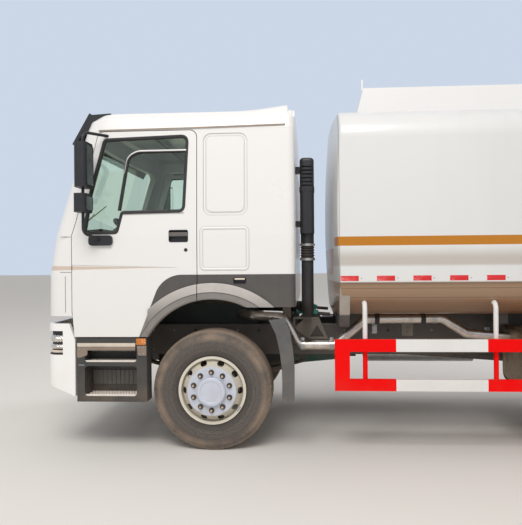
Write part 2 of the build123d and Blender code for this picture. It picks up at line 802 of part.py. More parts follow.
with BuildPart() as lamp_space:
    for side in (-1, 1):
        with BuildSketch(Plane.XY.offset(lamp_recess[2])):
            with Locations((front_x - 50, side * (lamp_recess[1] + 300))):
                Rectangle(behind_axle(lamp_recess[0]) - front_x + 50, 600, align=(Align.MIN, Align.CENTER))
        extrude(amount=lamp_recess[3] - lamp_recess[2])
with BuildPart() as front_bumper:
    add(bumper_form(0))
    add(bumper_form(bumper_wall), mode=Mode.SUBTRACT)
    with BuildSketch(Plane.XZ.offset(-side_reach)):
        add(side_profile(bumper_side))
    extrude(amount=2 * side_reach, mode=Mode.INTERSECT)
    add(lamp_space.part, mode=Mode.SUBTRACT)
    # air slots low in the middle
    with BuildSketch(Plane.YZ.offset(front_x - 50)):
        with GridLocations(bumper_slot_pitch, bumper_slot_pitch, 1, bumper_slot_count):
            with Locations((0, bumper_slot_z)):
                RectangleRounded(2 * bumper_slot_half_width, bumper_slot_height, 18)
    extrude(amount=200, mode=Mode.SUBTRACT)
    # stays that carry the bumper on the frame ends
    for side in (-1, 1):
        with BuildSketch(Plane.XY.offset(frame_bottom_z + 40)):
            with Locations((frame_front_x, side * (frame_half_width - bumper_stay_width / 2))):
                Rectangle(bumper_stay_length, bumper_stay_width, align=(Align.MAX, Align.CENTER))
        extrude(amount=bumper_stay_height)
front_bumper.part.label = "front_bumper"
with BuildPart() as headlamps:
    add(bumper_form(10))
    add(bumper_form(110), mode=Mode.SUBTRACT)
    add(lamp_space.part, mode=Mode.INTERSECT)
headlamps.part.label = "headlamps"

# Steps below the doors: a moulded box with two open treads
step_front = -1190
step_rear = -562
step_bottom_z = 450
step_top_z = 1017
step_outer_y = 1228
step_inner_y = 930
step_waist_y = 1080
step_waist_x = -612
tread_recesses = [(500, 765, 190), (800, 965, 150)]
tread_front = -1121
tread_rear = -653
with BuildPart() as cab_steps:
    for side in (-1, 1):
        with BuildSketch(Plane.XY.offset(step_bottom_z)):
            with BuildLine():
                Polyline(
                    (behind_axle(step_front), side * step_outer_y),
                    (behind_axle(step_rear), side * step_outer_y),
                    (behind_axle(step_rear), side * step_waist_y),
                    (behind_axle(step_waist_x), side * (step_waist_y - 40)),
                    (behind_axle(step_waist_x), side * step_inner_y),
                    (behind_axle(step_front), side * step_inner_y),
                    close=True,
                )
            make_face()
        extrude(amount=step_top_z - step_bottom_z)
        for bottom, top, depth in tread_recesses:
            with BuildSketch(Plane.XZ.offset(-side * step_outer_y)):
                with Locations((behind_axle((tread_front + tread_rear) / 2), (bottom + top) / 2)):
                    RectangleRounded(tread_rear - tread_front, top - bottom, 30)
            extrude(amount=side * depth, mode=Mode.SUBTRACT)
        # bracket to the frame
        with BuildSketch(Plane.YZ.offset(behind_axle(-1000))):
            with Locations((side * (frame_half_width + step_inner_y) / 2, frame_bottom_z + 100)):
                Rectangle(step_inner_y - frame_half_width, 90)
        extrude(amount=80)
cab_steps.part.label = "cab_steps"

# Tyres and wheels, drawn on the Y axis with their outer side towards +Y
tyre_shoulder_radius = 522
tyre_bead_half_width = 112
tyre_wall_foot = (305, 115)
tyre_wall_root = (309, 130)
tyre_wall_bulge = (430, 150)
tyre_tread_edge = 12
bead_seat_radius = tyre_bead_radius - seat_gap
disc_face_radius = 216
disc_depth = 85
hub_seat_radius = 100


def tyre_form(offset_y):
    """One tyre on the Y axis, its middle at the offset."""
    half_tread = tyre_tread_width / 2
    with BuildPart() as form:
        with BuildSketch(Plane.XY):
            with BuildLine():
                for side in (-1, 1):
                    Polyline(
                        (tyre_bead_radius, offset_y),
                        (tyre_bead_radius, offset_y + side * tyre_bead_half_width),
                        (tyre_wall_foot[0], offset_y + side * tyre_wall_foot[1]),
                        (tyre_wall_root[0], offset_y + side * tyre_wall_root[1]),
                    )
                    ThreePointArc(
                        (tyre_wall_root[0], offset_y + side * tyre_wall_root[1]),
                        (tyre_wall_bulge[0], offset_y + side * tyre_wall_bulge[1]),
                        (tyre_shoulder_radius, offset_y + side * half_tread),
                    )
                    Polyline(
                        (tyre_shoulder_radius, offset_y + side * half_tread),
                        (tyre_radius, offset_y + side * (half_tread - tyre_tread_edge)),
                        (tyre_radius, offset_y),
                    )
            make_face()
        revolve(axis=Axis.Y)
    return form.part


def rim_form(offset_y, disc_side):
    """A rim with its dished disc. The hub face lies on the disc side of the rim's middle."""
    half = rim_width / 2
    inner = bead_seat_radius - rim_wall
    face = offset_y + disc_side * wheel_disc_offset
    root = face - disc_side * disc_depth
    back = disc_side * rim_wall
    with BuildPart() as form:
        with BuildSketch(Plane.XY):
            with BuildLine():
                Polyline(
                    (rim_flange_radius, offset_y - half),
                    (rim_flange_radius, offset_y - half + rim_wall),
                    (bead_seat_radius, offset_y - half + rim_wall + 4),
                    (bead_seat_radius, offset_y + half - rim_wall - 4),
                    (rim_flange_radius, offset_y + half - rim_wall),
                    (rim_flange_radius, offset_y + half),
                    (inner, offset_y + half),
                    (inner, offset_y - half),
                    close=True,
                )
            make_face()
            with BuildLine():
                Polyline(
                    (inner + 4, root),
                    (disc_face_radius, face),
                    (hub_seat_radius, face),
                    (hub_seat_radius, face - back),
                    (disc_face_radius - 6, face - back),
                    (inner + 4, root - back),
                    close=True,
                )
            make_face()
        revolve(axis=Axis.Y)
        with BuildSketch(Plane.XZ.offset(-offset_y - 400)):
            with PolarLocations(hand_hole_circle_radius, hand_hole_count):
                SlotOverall(2 * hand_hole_radius + 12, 2 * hand_hole_radius - 8, rotation=90)
        extrude(amount=800, mode=Mode.SUBTRACT)
    return form.part


def hub_form(profile):
    """A hub turned about the Y axis, from rows of radius and distance outward."""
    with BuildPart() as form:
        with BuildSketch(Plane.XY):
            with BuildLine():
                Polyline(profile, close=True)
            make_face()
        revolve(axis=Axis.Y)
    return form.part


# Front hub: bore for the stub axle, drum, barrel and cap
stub_radius = 45
stub_fit = 0.05
stub_end = 150
drum_radius = 222
drum_inner_radius = 205
barrel_radius = 122
cap_radius = 127
front_hub = [
    (stub_radius + stub_fit, -75),
    (110, -75),
    (110, 40),
    (drum_inner_radius, 40),
    (drum_inner_radius, -88),
    (drum_radius, -88),
    (drum_radius, 55),
    (barrel_radius, 55),
    (barrel_radius, wheel_disc_offset + 10),
    (cap_radius, wheel_disc_offset + 14),
    (cap_radius, wheel_disc_offset + 34),
    (cap_radius - 9, wheel_disc_offset + 42),
    (cap_radius - 30, wheel_disc_offset + 42),
    (cap_radius - 36, wheel_disc_offset + 37),
    (0, wheel_disc_offset + 37),
    (0, stub_end + 6),
    (stub_radius + stub_fit, stub_end + 6),
]
# Rear hub: bore for the axle tube, drum, and the flange between the twin discs
axle_tube_radius = 70
axle_tube_end = 95
disc_gap = twin_spacing / 2 - wheel_disc_offset
rear_hub = [
    (axle_tube_radius + stub_fit, -262),
    (120, -262),
    (120, -90),
    (drum_inner_radius, -90),
    (drum_inner_radius, -250),
    (drum_radius, -250),
    (drum_radius, -75),
    (185, -60),
    (185, -disc_gap),
    (disc_face_radius - 10, -disc_gap),
    (disc_face_radius - 10, disc_gap),
    (135, disc_gap),
    (135, 120),
    (110, 150),
    (95, 178),
    (0, 178),
    (0, axle_tube_end + 6),
    (axle_tube_radius + stub_fit, axle_tube_end + 6),
]

front_tyre = tyre_form(0)
front_wheel = rim_form(0, 1) + hub_form(front_hub)
twin_tyres = tyre_form(-twin_spacing / 2) + tyre_form(twin_spacing / 2)
twin_wheels = rim_form(-twin_spacing / 2, 1) + rim_form(twin_spacing / 2, -1) + hub_form(rear_hub)

# Wheel stations: name, X, track, tyre form, wheel form
wheel_stations = [
    ("front", front_axle_x, front_track, front_tyre, front_wheel),
    ("middle", middle_axle_x, rear_track, twin_tyres, twin_wheels),
    ("rear", rear_axle_x, rear_track, twin_tyres, twin_wheels),
]
rolling_parts = []
for station, x, track, tyres, wheels in wheel_stations:
    for side_name, side in (("left", -1), ("right", 1)):
        for kind, form in (("tyre", tyres), ("wheel", wheels)):
            with BuildPart() as rolling:
                with Locations((x, side * track / 2, wheel_z)):
                    add(form if side > 0 else form.mirror(Plane.XZ))
            rolling.part.label = f"{station}_{kind}_{side_name}"
            rolling_parts.append(rolling.part)

# Front axle beam with an upright eye at each end for the kingpin
eye_radius = 42
eye_half_height = 68
beam_half_width = 45
beam_drop = 90
beam_height = 95
kingpin_fit = 0.05
beam_points = [
    (-kingpin_y, wheel_z - beam_height / 2),
    (-620, wheel_z - beam_height / 2),
    (-480, wheel_z - beam_height / 2 - beam_drop),
    (480, wheel_z - beam_height / 2 - beam_drop),
    (620, wheel_z - beam_height / 2),
    (kingpin_y, wheel_z - beam_height / 2),
    (kingpin_y, wheel_z + beam_height / 2),
    (580, wheel_z + beam_height / 2),
    (450, wheel_z + beam_height / 2 - beam_drop),
    (-450, wheel_z + beam_height / 2 - beam_drop),
    (-580, wheel_z + beam_height / 2),
    (-kingpin_y, wheel_z + beam_height / 2),
]
with BuildPart() as front_axle:
    with BuildSketch(Plane.YZ.offset(front_axle_x - beam_half_width)):
        with BuildLine():
            Polyline(beam_points, close=True)
        make_face()
    extrude(amount=2 * beam_half_width)
    for side in (-1, 1):
        with BuildSketch(Plane.XY.offset(wheel_z - eye_half_height)):
            with Locations((front_axle_x, side * kingpin_y)):
                Rectangle(200, 200)
                Circle(eye_radius, mode=Mode.SUBTRACT)
            with Locations((front_axle_x, side * (kingpin_y - 100))):
                Rectangle(200, 200, mode=Mode.SUBTRACT)
        extrude(amount=2 * eye_half_height, mode=Mode.SUBTRACT)
        with BuildSketch(Plane.XY.offset(wheel_z - eye_half_height)):
            with Locations((front_axle_x, side * kingpin_y)):
                Circle(eye_radius)
        extrude(amount=2 * eye_half_height)
        with BuildSketch(Plane.XY.offset(wheel_z - eye_half_height)):
            with Locations((front_axle_x, side * kingpin_y)):
                Circle(kingpin_radius + kingpin_fit)
        extrude(amount=2 * eye_half_height, mode=Mode.SUBTRACT)
front_axle.part.label = "front_axle"

# Steering knuckles: fork, kingpin, stub axle, brake plate and steering arm
fork_lug_height = 46
fork_lug_radius = 46
fork_gap = 0.3
fork_web_y = 900
brake_plate_y = 905
brake_plate_radius = 198
arm_z = wheel_z - eye_half_height - fork_gap - fork_lug_height
arm_thickness = 30
rod_pin_radius = 12
rod_drop = 50
for side_name, side in (("left", -1), ("right", 1)):
    with BuildPart() as knuckle:
        for low in (arm_z, wheel_z + eye_half_height + fork_gap):
            with BuildSketch(Plane.XY.offset(low)):
                with Locations((front_axle_x, side * kingpin_y)):
                    Circle(fork_lug_radius)
                with Locations((front_axle_x, side * (kingpin_y + brake_plate_y) / 2)):
                    Rectangle(2 * fork_lug_radius, brake_plate_y - kingpin_y)
            extrude(amount=fork_lug_height)
        with BuildSketch(Plane.XY.offset(arm_z)):
            with Locations((front_axle_x, side * kingpin_y)):
                Circle(kingpin_radius)
        extrude(amount=2 * (eye_half_height + fork_gap + fork_lug_height))
        with BuildSketch(Plane.XZ.offset(-side * fork_web_y)):
            with Locations((front_axle_x, wheel_z)):
                Rectangle(2 * fork_lug_radius, 2 * (eye_half_height + fork_gap + fork_lug_height))
                Circle(stub_radius)
        extrude(amount=-side * (brake_plate_y - fork_web_y + 8))
        with BuildSketch(Plane.XZ.offset(-side * brake_plate_y)):
            with Locations((front_axle_x, wheel_z)):
                Circle(brake_plate_radius)
        extrude(amount=-side * 10)
        with BuildSketch(Plane.XZ.offset(-side * brake_plate_y)):
            with Locations((front_axle_x, wheel_z)):
                Circle(stub_radius)
        extrude(amount=-side * (front_track / 2 + stub_end - brake_plate_y))
        with BuildSketch(Plane.XY.offset(arm_z)):
            with Locations((front_axle_x, side * kingpin_y)):
                Rectangle(steering_arm_length, 36, align=(Align.MIN, Align.CENTER))
            with Locations((front_axle_x + steering_arm_length, side * kingpin_y)):
                Circle(20)
        extrude(amount=arm_thickness)
        with BuildSketch(Plane.XY.offset(arm_z)):
            with Locations((front_axle_x + steering_arm_length, side * kingpin_y)):
                Circle(rod_pin_radius)
        extrude(amount=-rod_drop)
    knuckle.part.label = f"knuckle_{side_name}"
    rolling_parts.append(knuckle.part)

# Track rod between the steering arms
rod_eye_radius = 26
rod_eye_height = 36
rod_fit = {-1: 0.05, 1: 0.3}
rod_eye_z = arm_z - fork_gap - rod_eye_height
with BuildPart() as track_rod:
    with BuildSketch(Plane.XZ.offset(-kingpin_y)):
        with Locations((front_axle_x + steering_arm_length, rod_eye_z + rod_eye_height / 2)):
            Circle(track_rod_radius - 6)
    extrude(amount=2 * kingpin_y)
    for side in (-1, 1):
        with BuildSketch(Plane.XY.offset(rod_eye_z)):
            with Locations((front_axle_x + steering_arm_length, side * kingpin_y)):
                Circle(rod_eye_radius)
        extrude(amount=rod_eye_height)
        with BuildSketch(Plane.XY.offset(rod_eye_z)):
            with Locations((front_axle_x + steering_arm_length, side * kingpin_y)):
                Circle(rod_pin_radius + rod_fit[side])
        extrude(amount=rod_eye_height, mode=Mode.SUBTRACT)
track_rod.part.label = "track_rod"

# Chassis frame: two channel rails with crossmembers
crossmember_height = 170
crossmember_length = 60
pivot_plate_outline = [(-22, -20), (15, -100), (90, -100), (90, -6), (20, 22)]
crossmember_stations = [-1280, 1220, 2300, 3500, 5275, 6600, 8230]
with BuildPart() as frame_rails:
    for side in (-1, 1):
        with BuildSketch(Plane.YZ.offset(frame_front_x)):
            with Locations((side * (frame_half_width - frame_flange / 2), frame_bottom_z + frame_height / 2)):
                Rectangle(frame_flange, frame_height)
            with Locations((side * (frame_half_width - frame_flange / 2 - frame_plate),
                            frame_bottom_z + frame_height / 2)):
                Rectangle(frame_flange, frame_height - 2 * frame_plate, mode=Mode.SUBTRACT)
        extrude(amount=frame_rear_x - frame_front_x)
    for station in crossmember_stations:
        with BuildSketch(Plane.YZ.offset(behind_axle(station))):
            with Locations((0, frame_top_z - frame_plate)):
                Rectangle(
                    2 * (frame_half_width - frame_plate),
                    crossmember_height,
                    align=(Align.CENTER, Align.MAX),
                )
        extrude(amount=crossmember_length)
    # front ends: a plate in each rail with the cab's pivot pin
    for side in (-1, 1):
        with BuildSketch(Plane.XZ.offset(-side * pivot_plate_y[1])):
            with BuildLine():
                Polyline([(pivot_x + x, pivot_z + z) for x, z in pivot_plate_outline], close=True)
            make_face()
            with Locations((pivot_x, pivot_z)):
                Circle(pivot_eye_radius)
        extrude(amount=side * (pivot_plate_y[1] - pivot_plate_y[0]))
        with BuildSketch(Plane.XZ.offset(-side * pivot_plate_y[1])):
            with Locations((pivot_x, pivot_z)):
                Circle(pivot_pin_radius)
        extrude(amount=side * (pivot_plate_y[1] - pivot_arm_y[0]))
frame_rails.part.label = "frame_rails"

# Tank: a closed shell with crowned top and sides and rounded ends
tank_front = 1043
tank_rear = 8590
tank_bottom_z = 1185
tank_top_z = 3035
tank_crown = 35
tank_side_bulge = 12
tank_top_corner = 270
tank_bottom_corner = 400
tank_end_radius = 30
tank_dish_radius = 10500
band_bottom_z = 1495
band_top_z = 1618
band_proud = 4
band_front = 1139
band_rear = tank_rear - 100
with BuildPart() as tank_shell:
    side_y = body_half_width - tank_side_bulge
    shoulder_z = tank_top_z - tank_crown
    with BuildSketch(Plane.YZ.offset(behind_axle(tank_front))) as tank_section:
        with BuildLine():
            Line((-side_y, tank_bottom_z), (side_y, tank_bottom_z))
            ThreePointArc((side_y, tank_bottom_z), (body_half_width, 2100), (side_y, shoulder_z))
            ThreePointArc((side_y, shoulder_z), (0, tank_top_z), (-side_y, shoulder_z))
            ThreePointArc((-side_y, shoulder_z), (-body_half_width, 2100), (-side_y, tank_bottom_z))
        make_face()
        fillet(tank_section.vertices().group_by(Axis.Y)[-1], tank_top_corner)
        fillet(tank_section.vertices().group_by(Axis.Y)[0], tank_bottom_corner)
    extrude(amount=tank_rear - tank_front)
    middle_z = (tank_bottom_z + tank_top_z) / 2
    for x in (behind_axle(tank_front) + tank_dish_radius, behind_axle(tank_rear) - tank_dish_radius):
        with Locations((x, 0, middle_z)):
            Sphere(tank_dish_radius, mode=Mode.INTERSECT)
    fillet(tank_shell.faces().filter_by(GeomType.SPHERE).edges(), tank_end_radius)
    tank_form = tank_shell.part
    for side in (-1, 1):
        with BuildSketch(Plane.XY.offset(band_bottom_z)):
            with Locations((behind_axle(band_front), side * (body_half_width + band_proud))):
                Rectangle(band_rear - band_front, 60, align=(Align.MIN, Align.MAX if side > 0 else Align.MIN))
        extrude(amount=band_top_z - band_bottom_z)
tank_shell.part.label = "tank_shell"

# Subframe: two long beams on the rails with saddles under the tank
subframe_front = tank_front + 90
subframe_rear = tank_rear - 60
saddle_count = 6
saddle_half_width = 820
saddle_length = 90
saddle_bottom_z = frame_top_z + 45
leg_foot = 20
leg_outline = [
    (saddle_half_width - 60, saddle_bottom_z),
    (1060, saddle_bottom_z),
    (1205, 1445),
    (1150, 1445),
    (1030, saddle_bottom_z + leg_foot),
    (saddle_half_width - 60, saddle_bottom_z + leg_foot),
]
with BuildPart() as subframe:
    for side in (-1, 1):
        with BuildSketch(Plane.XY.offset(frame_top_z)):
            with Locations((behind_axle(subframe_front), side * (frame_half_width - subframe_width / 2))):
                Rectangle(subframe_rear - subframe_front, subframe_width, align=(Align.MIN, Align.CENTER))
        extrude(amount=subframe_height)
    pitch = (subframe_rear - subframe_front - saddle_length) / (saddle_count - 1)
    for number in range(saddle_count):
        with BuildSketch(Plane.XY.offset(saddle_bottom_z)):
            with Locations((behind_axle(subframe_front + number * pitch), 0)):
                Rectangle(saddle_length, 2 * saddle_half_width, align=(Align.MIN, Align.CENTER))
        extrude(amount=tank_bottom_z - saddle_bottom_z)
    # legs at the first saddle's ends, leaning out under the tank's rounded corners
    for side in (-1, 1):
        with BuildSketch(Plane.YZ.offset(behind_axle(subframe_front))):
            with BuildLine():
                Polyline([(side * y, z) for y, z in leg_outline], close=True)
            make_face()
        extrude(amount=saddle_length)
    add(tank_form, mode=Mode.SUBTRACT)
subframe.part.label = "subframe"

# Drive axles: banjo housing, axle tubes and brake plates
banjo_radius = 225
banjo_half_width = 150
axle_brake_y = 640
with BuildPart() as drive_axles:
    for x in (middle_axle_x, rear_axle_x):
        with BuildSketch(Plane.XZ.offset(-banjo_half_width)):
            with Locations((x, wheel_z)):
                Circle(banjo_radius)
        extrude(amount=2 * banjo_half_width)
        with BuildSketch(Plane.XZ.offset(-rear_track / 2 - axle_tube_end)):
            with Locations((x, wheel_z)):
                Circle(axle_tube_radius)
        extrude(amount=rear_track + 2 * axle_tube_end)
        for side in (-1, 1):
            with BuildSketch(Plane.XZ.offset(-side * axle_brake_y)):
                with Locations((x, wheel_z)):
                    Circle(brake_plate_radius)
            extrude(amount=-side * 12)
drive_axles.part.label = "drive_axles"

# Leaf springs: stacked leaves of falling length, bent to one arc
leaf_thickness = 22
leaf_width = 90
spring_y = 385
rear_spring_y = 490


def leaf_pack(x, y, z, lengths, rise):
    """A pack of bent leaves, the longest first and each next one below it (or above, if rise is negative)."""
    step = -leaf_thickness if rise > 0 else leaf_thickness
    with BuildPart() as pack:
        for number, length in enumerate(lengths):
            share = (length / lengths[0]) ** 2
            low = z + number * step
            end_z = low + rise * share
            front_end = x - length / 2
            rear_end = x + length / 2
            with BuildSketch(Plane.XZ.offset(-y + leaf_width / 2)):
                with BuildLine():
                    ThreePointArc((front_end, end_z), (x, low), (rear_end, end_z))
                    Line((rear_end, end_z), (rear_end, end_z + leaf_thickness))
                    ThreePointArc(
                        (rear_end, end_z + leaf_thickness),
                        (x, low + leaf_thickness),
                        (front_end, end_z + leaf_thickness),
                    )
                    Line((front_end, end_z + leaf_thickness), (front_end, end_z))
                make_face()
            extrude(amount=-leaf_width)
    return pack.part


front_leaf_lengths = [1640, 1300, 950]
rear_leaf_lengths = [1440, 1200, 960, 700, 440]
front_spring_z = wheel_z - beam_drop + beam_height / 2 + 2 * leaf_thickness + 14
trunnion_x = (middle_axle_x + rear_axle_x) / 2
rear_spring_z = wheel_z + axle_tube_radius + 40
with BuildPart() as leaf_springs:
    for side in (-1, 1):
        add(leaf_pack(front_axle_x, side * spring_y, front_spring_z, front_leaf_lengths, 120))
        with BuildSketch(Plane.XY.offset(wheel_z - beam_drop + beam_height / 2)):
            with Locations((front_axle_x, side * spring_y)):
                Rectangle(130, leaf_width)
        extrude(amount=14)
        for end in (-1, 1):
            x = front_axle_x + end * (front_leaf_lengths[0] / 2 - 30)
            with BuildSketch(Plane.XY.offset(front_spring_z + 115)):
                with Locations((x, side * spring_y)):
                    Rectangle(60, 60)
            extrude(amount=frame_bottom_z - front_spring_z - 115)
        add(leaf_pack(trunnion_x, side * rear_spring_y, rear_spring_z + 60, rear_leaf_lengths, -60))
        for x in (middle_axle_x, rear_axle_x):
            with BuildSketch(Plane.XY.offset(wheel_z + axle_tube_radius - 4)):
                with Locations((x, side * rear_spring_y)):
                    Rectangle(110, leaf_width)
            extrude(amount=rear_spring_z - wheel_z - axle_tube_radius + 8)
        with BuildSketch(Plane.XY.offset(rear_spring_z + 60)):
            with Locations((trunnion_x, side * (frame_half_width + rear_spring_y + leaf_width / 2) / 2)):
                Rectangle(220, rear_spring_y + leaf_width / 2 - frame_half_width)
        extrude(amount=200)
    add(drive_axles.part, mode=Mode.SUBTRACT)
    add(frame_rails.part, mode=Mode.SUBTRACT)
leaf_springs.part.label = "leaf_springs"

# Engine and gearbox as plain masses between the rails
with BuildPart() as engine_block:
    with BuildSketch(Plane.XY.offset(engine_box[3])):
        with Locations((behind_axle(engine_box[0]), 0)):
            Rectangle(engine_box[1] - engine_box[0], 2 * engine_box[2], align=(Align.MIN, Align.CENTER))
    extrude(amount=engine_box[4] - engine_box[3])
    chamfer(engine_block.edges().filter_by(Axis.X), 70)
    with BuildSketch(Plane.YZ.offset(behind_axle(-1180))):
        with Locations((0, 960)):
            Rectangle(660, 640)
    extrude(amount=110)
    with BuildSketch(Plane.YZ.offset(behind_axle(-1070))):
        with Locations((0, 960)):
            Circle(110)
    extrude(amount=engine_box[0] + 1070)
engine_block.part.label = "engine_block"

gearbox_sections = [(340, 270, 560, 1080), (640, 200, 600, 1000), (1150, 150, 640, 920)]
with BuildPart() as gearbox:
    for (x1, w1, b1, t1), (x2, w2, b2, t2) in zip(gearbox_sections, gearbox_sections[1:]):
        with BuildSketch(Plane.YZ.offset(behind_axle(x1))):
            with Locations((0, (b1 + t1) / 2)):
                RectangleRounded(2 * w1, t1 - b1, 60)
        with BuildSketch(Plane.YZ.offset(behind_axle(x2))):
            with Locations((0, (b2 + t2) / 2)):
                RectangleRounded(2 * w2, t2 - b2, 60)
        loft(ruled=True)
gearbox.part.label = "gearbox"

# Propeller shafts from the gearbox to the middle axle, and on to the rear axle
shaft_radius = 55
gearbox_out = (behind_axle(gearbox_sections[-1][0]), 0, 780)
middle_in = (middle_axle_x - banjo_radius + 10, 0, wheel_z + 30)
middle_out = (middle_axle_x + banjo_radius - 10, 0, wheel_z + 30)
rear_in = (rear_axle_x - banjo_radius + 10, 0, wheel_z + 30)
with BuildPart() as propshafts:
    for start, end in ((gearbox_out, middle_in), (middle_out, rear_in)):
        run = Vector(*end) - Vector(*start)
        with BuildSketch(Plane(origin=start, z_dir=run)):
            Circle(shaft_radius)
        extrude(amount=run.length)
    add(drive_axles.part, mode=Mode.SUBTRACT)
    add(gearbox.part, mode=Mode.SUBTRACT)
propshafts.part.label = "propshafts"

# Exhaust: a bent pipe from behind the cab to the box silencer on the left
pipe_radius = 44
pipe_y = -720
silencer_box = (2716, 3560, -1130, -540, 545, 1056)
# Exhaust route: distance behind the front axle, Y, height
pipe_points = [
    (150, -318, 1150),
    (330, -600, 1150),
    (630, pipe_y, 1145),
    (765, pipe_y, 880),
    (1105, pipe_y, 880),
    (1400, pipe_y, 1125),
    (2110, pipe_y, 1130),
    (2330, pipe_y, 990),
    (silencer_box[0] + 4, pipe_y, 955),
]
with BuildPart() as silencer:
    x1, x2, y1, y2, z1, z2 = silencer_box
    with BuildSketch(Plane.YZ.offset(behind_axle(x1))):
        with Locations(((y1 + y2) / 2, (z1 + z2) / 2)):
            RectangleRounded(y2 - y1, z2 - z1, 90)
    extrude(amount=x2 - x1)
    fillet(silencer.faces().sort_by(Axis.X)[0].edges(), 40)
    fillet(silencer.faces().sort_by(Axis.X)[-1].edges(), 40)
    for x in (x1 + 150, x2 - 200):
        with BuildSketch(Plane.XY.offset(frame_bottom_z + 60)):
            with Locations((behind_axle(x), y2 - 10)):
                Rectangle(70, -frame_half_width - y2 + 10, align=(Align.MIN, Align.MIN))
        extrude(amount=160)
silencer.part.label = "silencer"
with BuildPart() as exhaust_pipe:
    with BuildLine():
        pipe_path = FilletPolyline([(behind_axle(x), y, z) for x, y, z in pipe_points], radius=95)
    with BuildSketch(Plane(origin=pipe_path @ 0, z_dir=pipe_path % 0)):
        Circle(pipe_radius)
    sweep()
    for x in (1600, 2000):
        with BuildSketch(Plane.XY.offset(1090)):
            with Locations((behind_axle(x), (pipe_y - frame_half_width) / 2)):
                Rectangle(40, -pipe_y - frame_half_width)
        extrude(amount=30)
    add(silencer.part, mode=Mode.SUBTRACT)
    add(engine_block.part, mode=Mode.SUBTRACT)
    add(frame_rails.part, mode=Mode.SUBTRACT)
    add(subframe.part, mode=Mode.SUBTRACT)
exhaust_pipe.part.label = "exhaust_pipe"

# Right-hand side equipment: battery box, fuel tank and air tanks
# Each row: label, front, rear, inner Y, outer Y, bottom, top, corner radius
side_boxes = [
    ("battery_box", 1020, 1400, 560, 1130, 560, 1000, 25),
    ("fuel_tank", 1520, 2760, 560, 1150, 490, 1070, 110),
]
equipment = []
for label, x1, x2, y1, y2, z1, z2, corner in side_boxes:
    with BuildPart() as box_piece:
        with BuildSketch(Plane.YZ.offset(behind_axle(x1))):
            with Locations(((y1 + y2) / 2, (z1 + z2) / 2)):
                RectangleRounded(y2 - y1, z2 - z1, corner)
        extrude(amount=x2 - x1)
        for x in (x1 + 60, x2 - 130):
            with BuildSketch(Plane.XY.offset(frame_bottom_z + 30)):
                with Locations((behind_axle(x), frame_half_width)):
                    Rectangle(70, y1 - frame_half_width + 4, align=(Align.MIN, Align.MIN))
            extrude(amount=180)
    box_piece.part.label = label
    equipment.append(box_piece.part)

air_tank_radius = 135
with BuildPart() as air_tanks:
    for y in (640, 930):
        with BuildSketch(Plane.YZ.offset(behind_axle(2900))):
            with Locations((y, 740)):
                Circle(air_tank_radius)
        extrude(amount=820)
    chamfer(air_tanks.edges().filter_by(GeomType.CIRCLE), 40)
    for x in (3020, 3540):
        with BuildSketch(Plane.XY.offset(860)):
            with Locations((behind_axle(x), frame_half_width)):
                Rectangle(60, 600, align=(Align.MIN, Align.MIN))
        extrude(amount=24)
air_tanks.part.label = "air_tanks"

# Mudguards: a strip behind each front wheel and a long cover over the twin wheels
strip_inner = [(515, 1165), (575, 1043), (604, 912), (624, 755), (628, 598), (622, 455)]
strip_outer = [(655, 1182), (697, 1069), (722, 912), (736, 756), (734, 455)]
strip_thickness = 14
strip_y = (880, 1222)
strip_stay_x = 635
strip_stay_z = 940
strip_stay_size = 40
cover_radius = 598
cover_thickness = 10
cover_y = (595, 1242)
cover_angle = 50
with BuildPart() as mudguards:
    for side in (-1, 1):
        low_y = min(side * strip_y[0], side * strip_y[1])
        with BuildSketch(Plane.XZ.offset(-side * strip_y[1])):
            with BuildLine():
                Polyline([(behind_axle(x), z) for x, z in strip_inner + strip_outer[::-1]], close=True)
            make_face()
        extrude(amount=side * strip_thickness)
        with BuildSketch(Plane.XZ.offset(-low_y)):
            with BuildLine():
                Polyline(
                    [(behind_axle(x), z) for x, z in strip_inner]
                    + [(behind_axle(x + strip_thickness), z) for x, z in strip_inner[::-1]],
                    close=True,
                )
            make_face()
        extrude(amount=-(strip_y[1] - strip_y[0]))
        # stay from the frame
        with BuildSketch(Plane.XY.offset(strip_stay_z)):
            stay_y = side * (frame_half_width + strip_y[1] - strip_thickness) / 2
            with Locations((behind_axle(strip_stay_x), stay_y)):
                Rectangle(strip_stay_size, strip_y[1] - strip_thickness - frame_half_width)
        extrude(amount=strip_stay_size)
        low_y = min(side * cover_y[0], side * cover_y[1])
        reach = math.radians(cover_angle)
        bridge_z = wheel_z + cover_radius * math.sin(reach)
        with BuildSketch(Plane.XZ.offset(-low_y)):
            for x, start in ((middle_axle_x, cover_angle), (rear_axle_x, 30)):
                with BuildLine():
                    CenterArc((x, wheel_z), cover_radius, start, 100)
                    CenterArc((x, wheel_z), cover_radius + cover_thickness, start, 100)
                    for angle in (start, start + 100):
                        turn = math.radians(angle)
                        Line(
                            (x + cover_radius * math.cos(turn), wheel_z + cover_radius * math.sin(turn)),
                            (x + (cover_radius + cover_thickness) * math.cos(turn),
                             wheel_z + (cover_radius + cover_thickness) * math.sin(turn)),
                        )
                make_face()
            with Locations((trunnion_x, bridge_z + cover_thickness / 2)):
                Rectangle(
                    bogie_spacing - 2 * cover_radius * math.cos(reach) + 4, cover_thickness
                )
        extrude(amount=-(cover_y[1] - cover_y[0]))
        for x in (trunnion_x - 200, trunnion_x + 160):
            with BuildSketch(Plane.XY.offset(bridge_z - 40)):
                with Locations((x, side * frame_half_width)):
                    Rectangle(40, 780, align=(Align.MIN, Align.MIN if side > 0 else Align.MAX))
            extrude(amount=40)
mudguards.part.label = "mudguards"

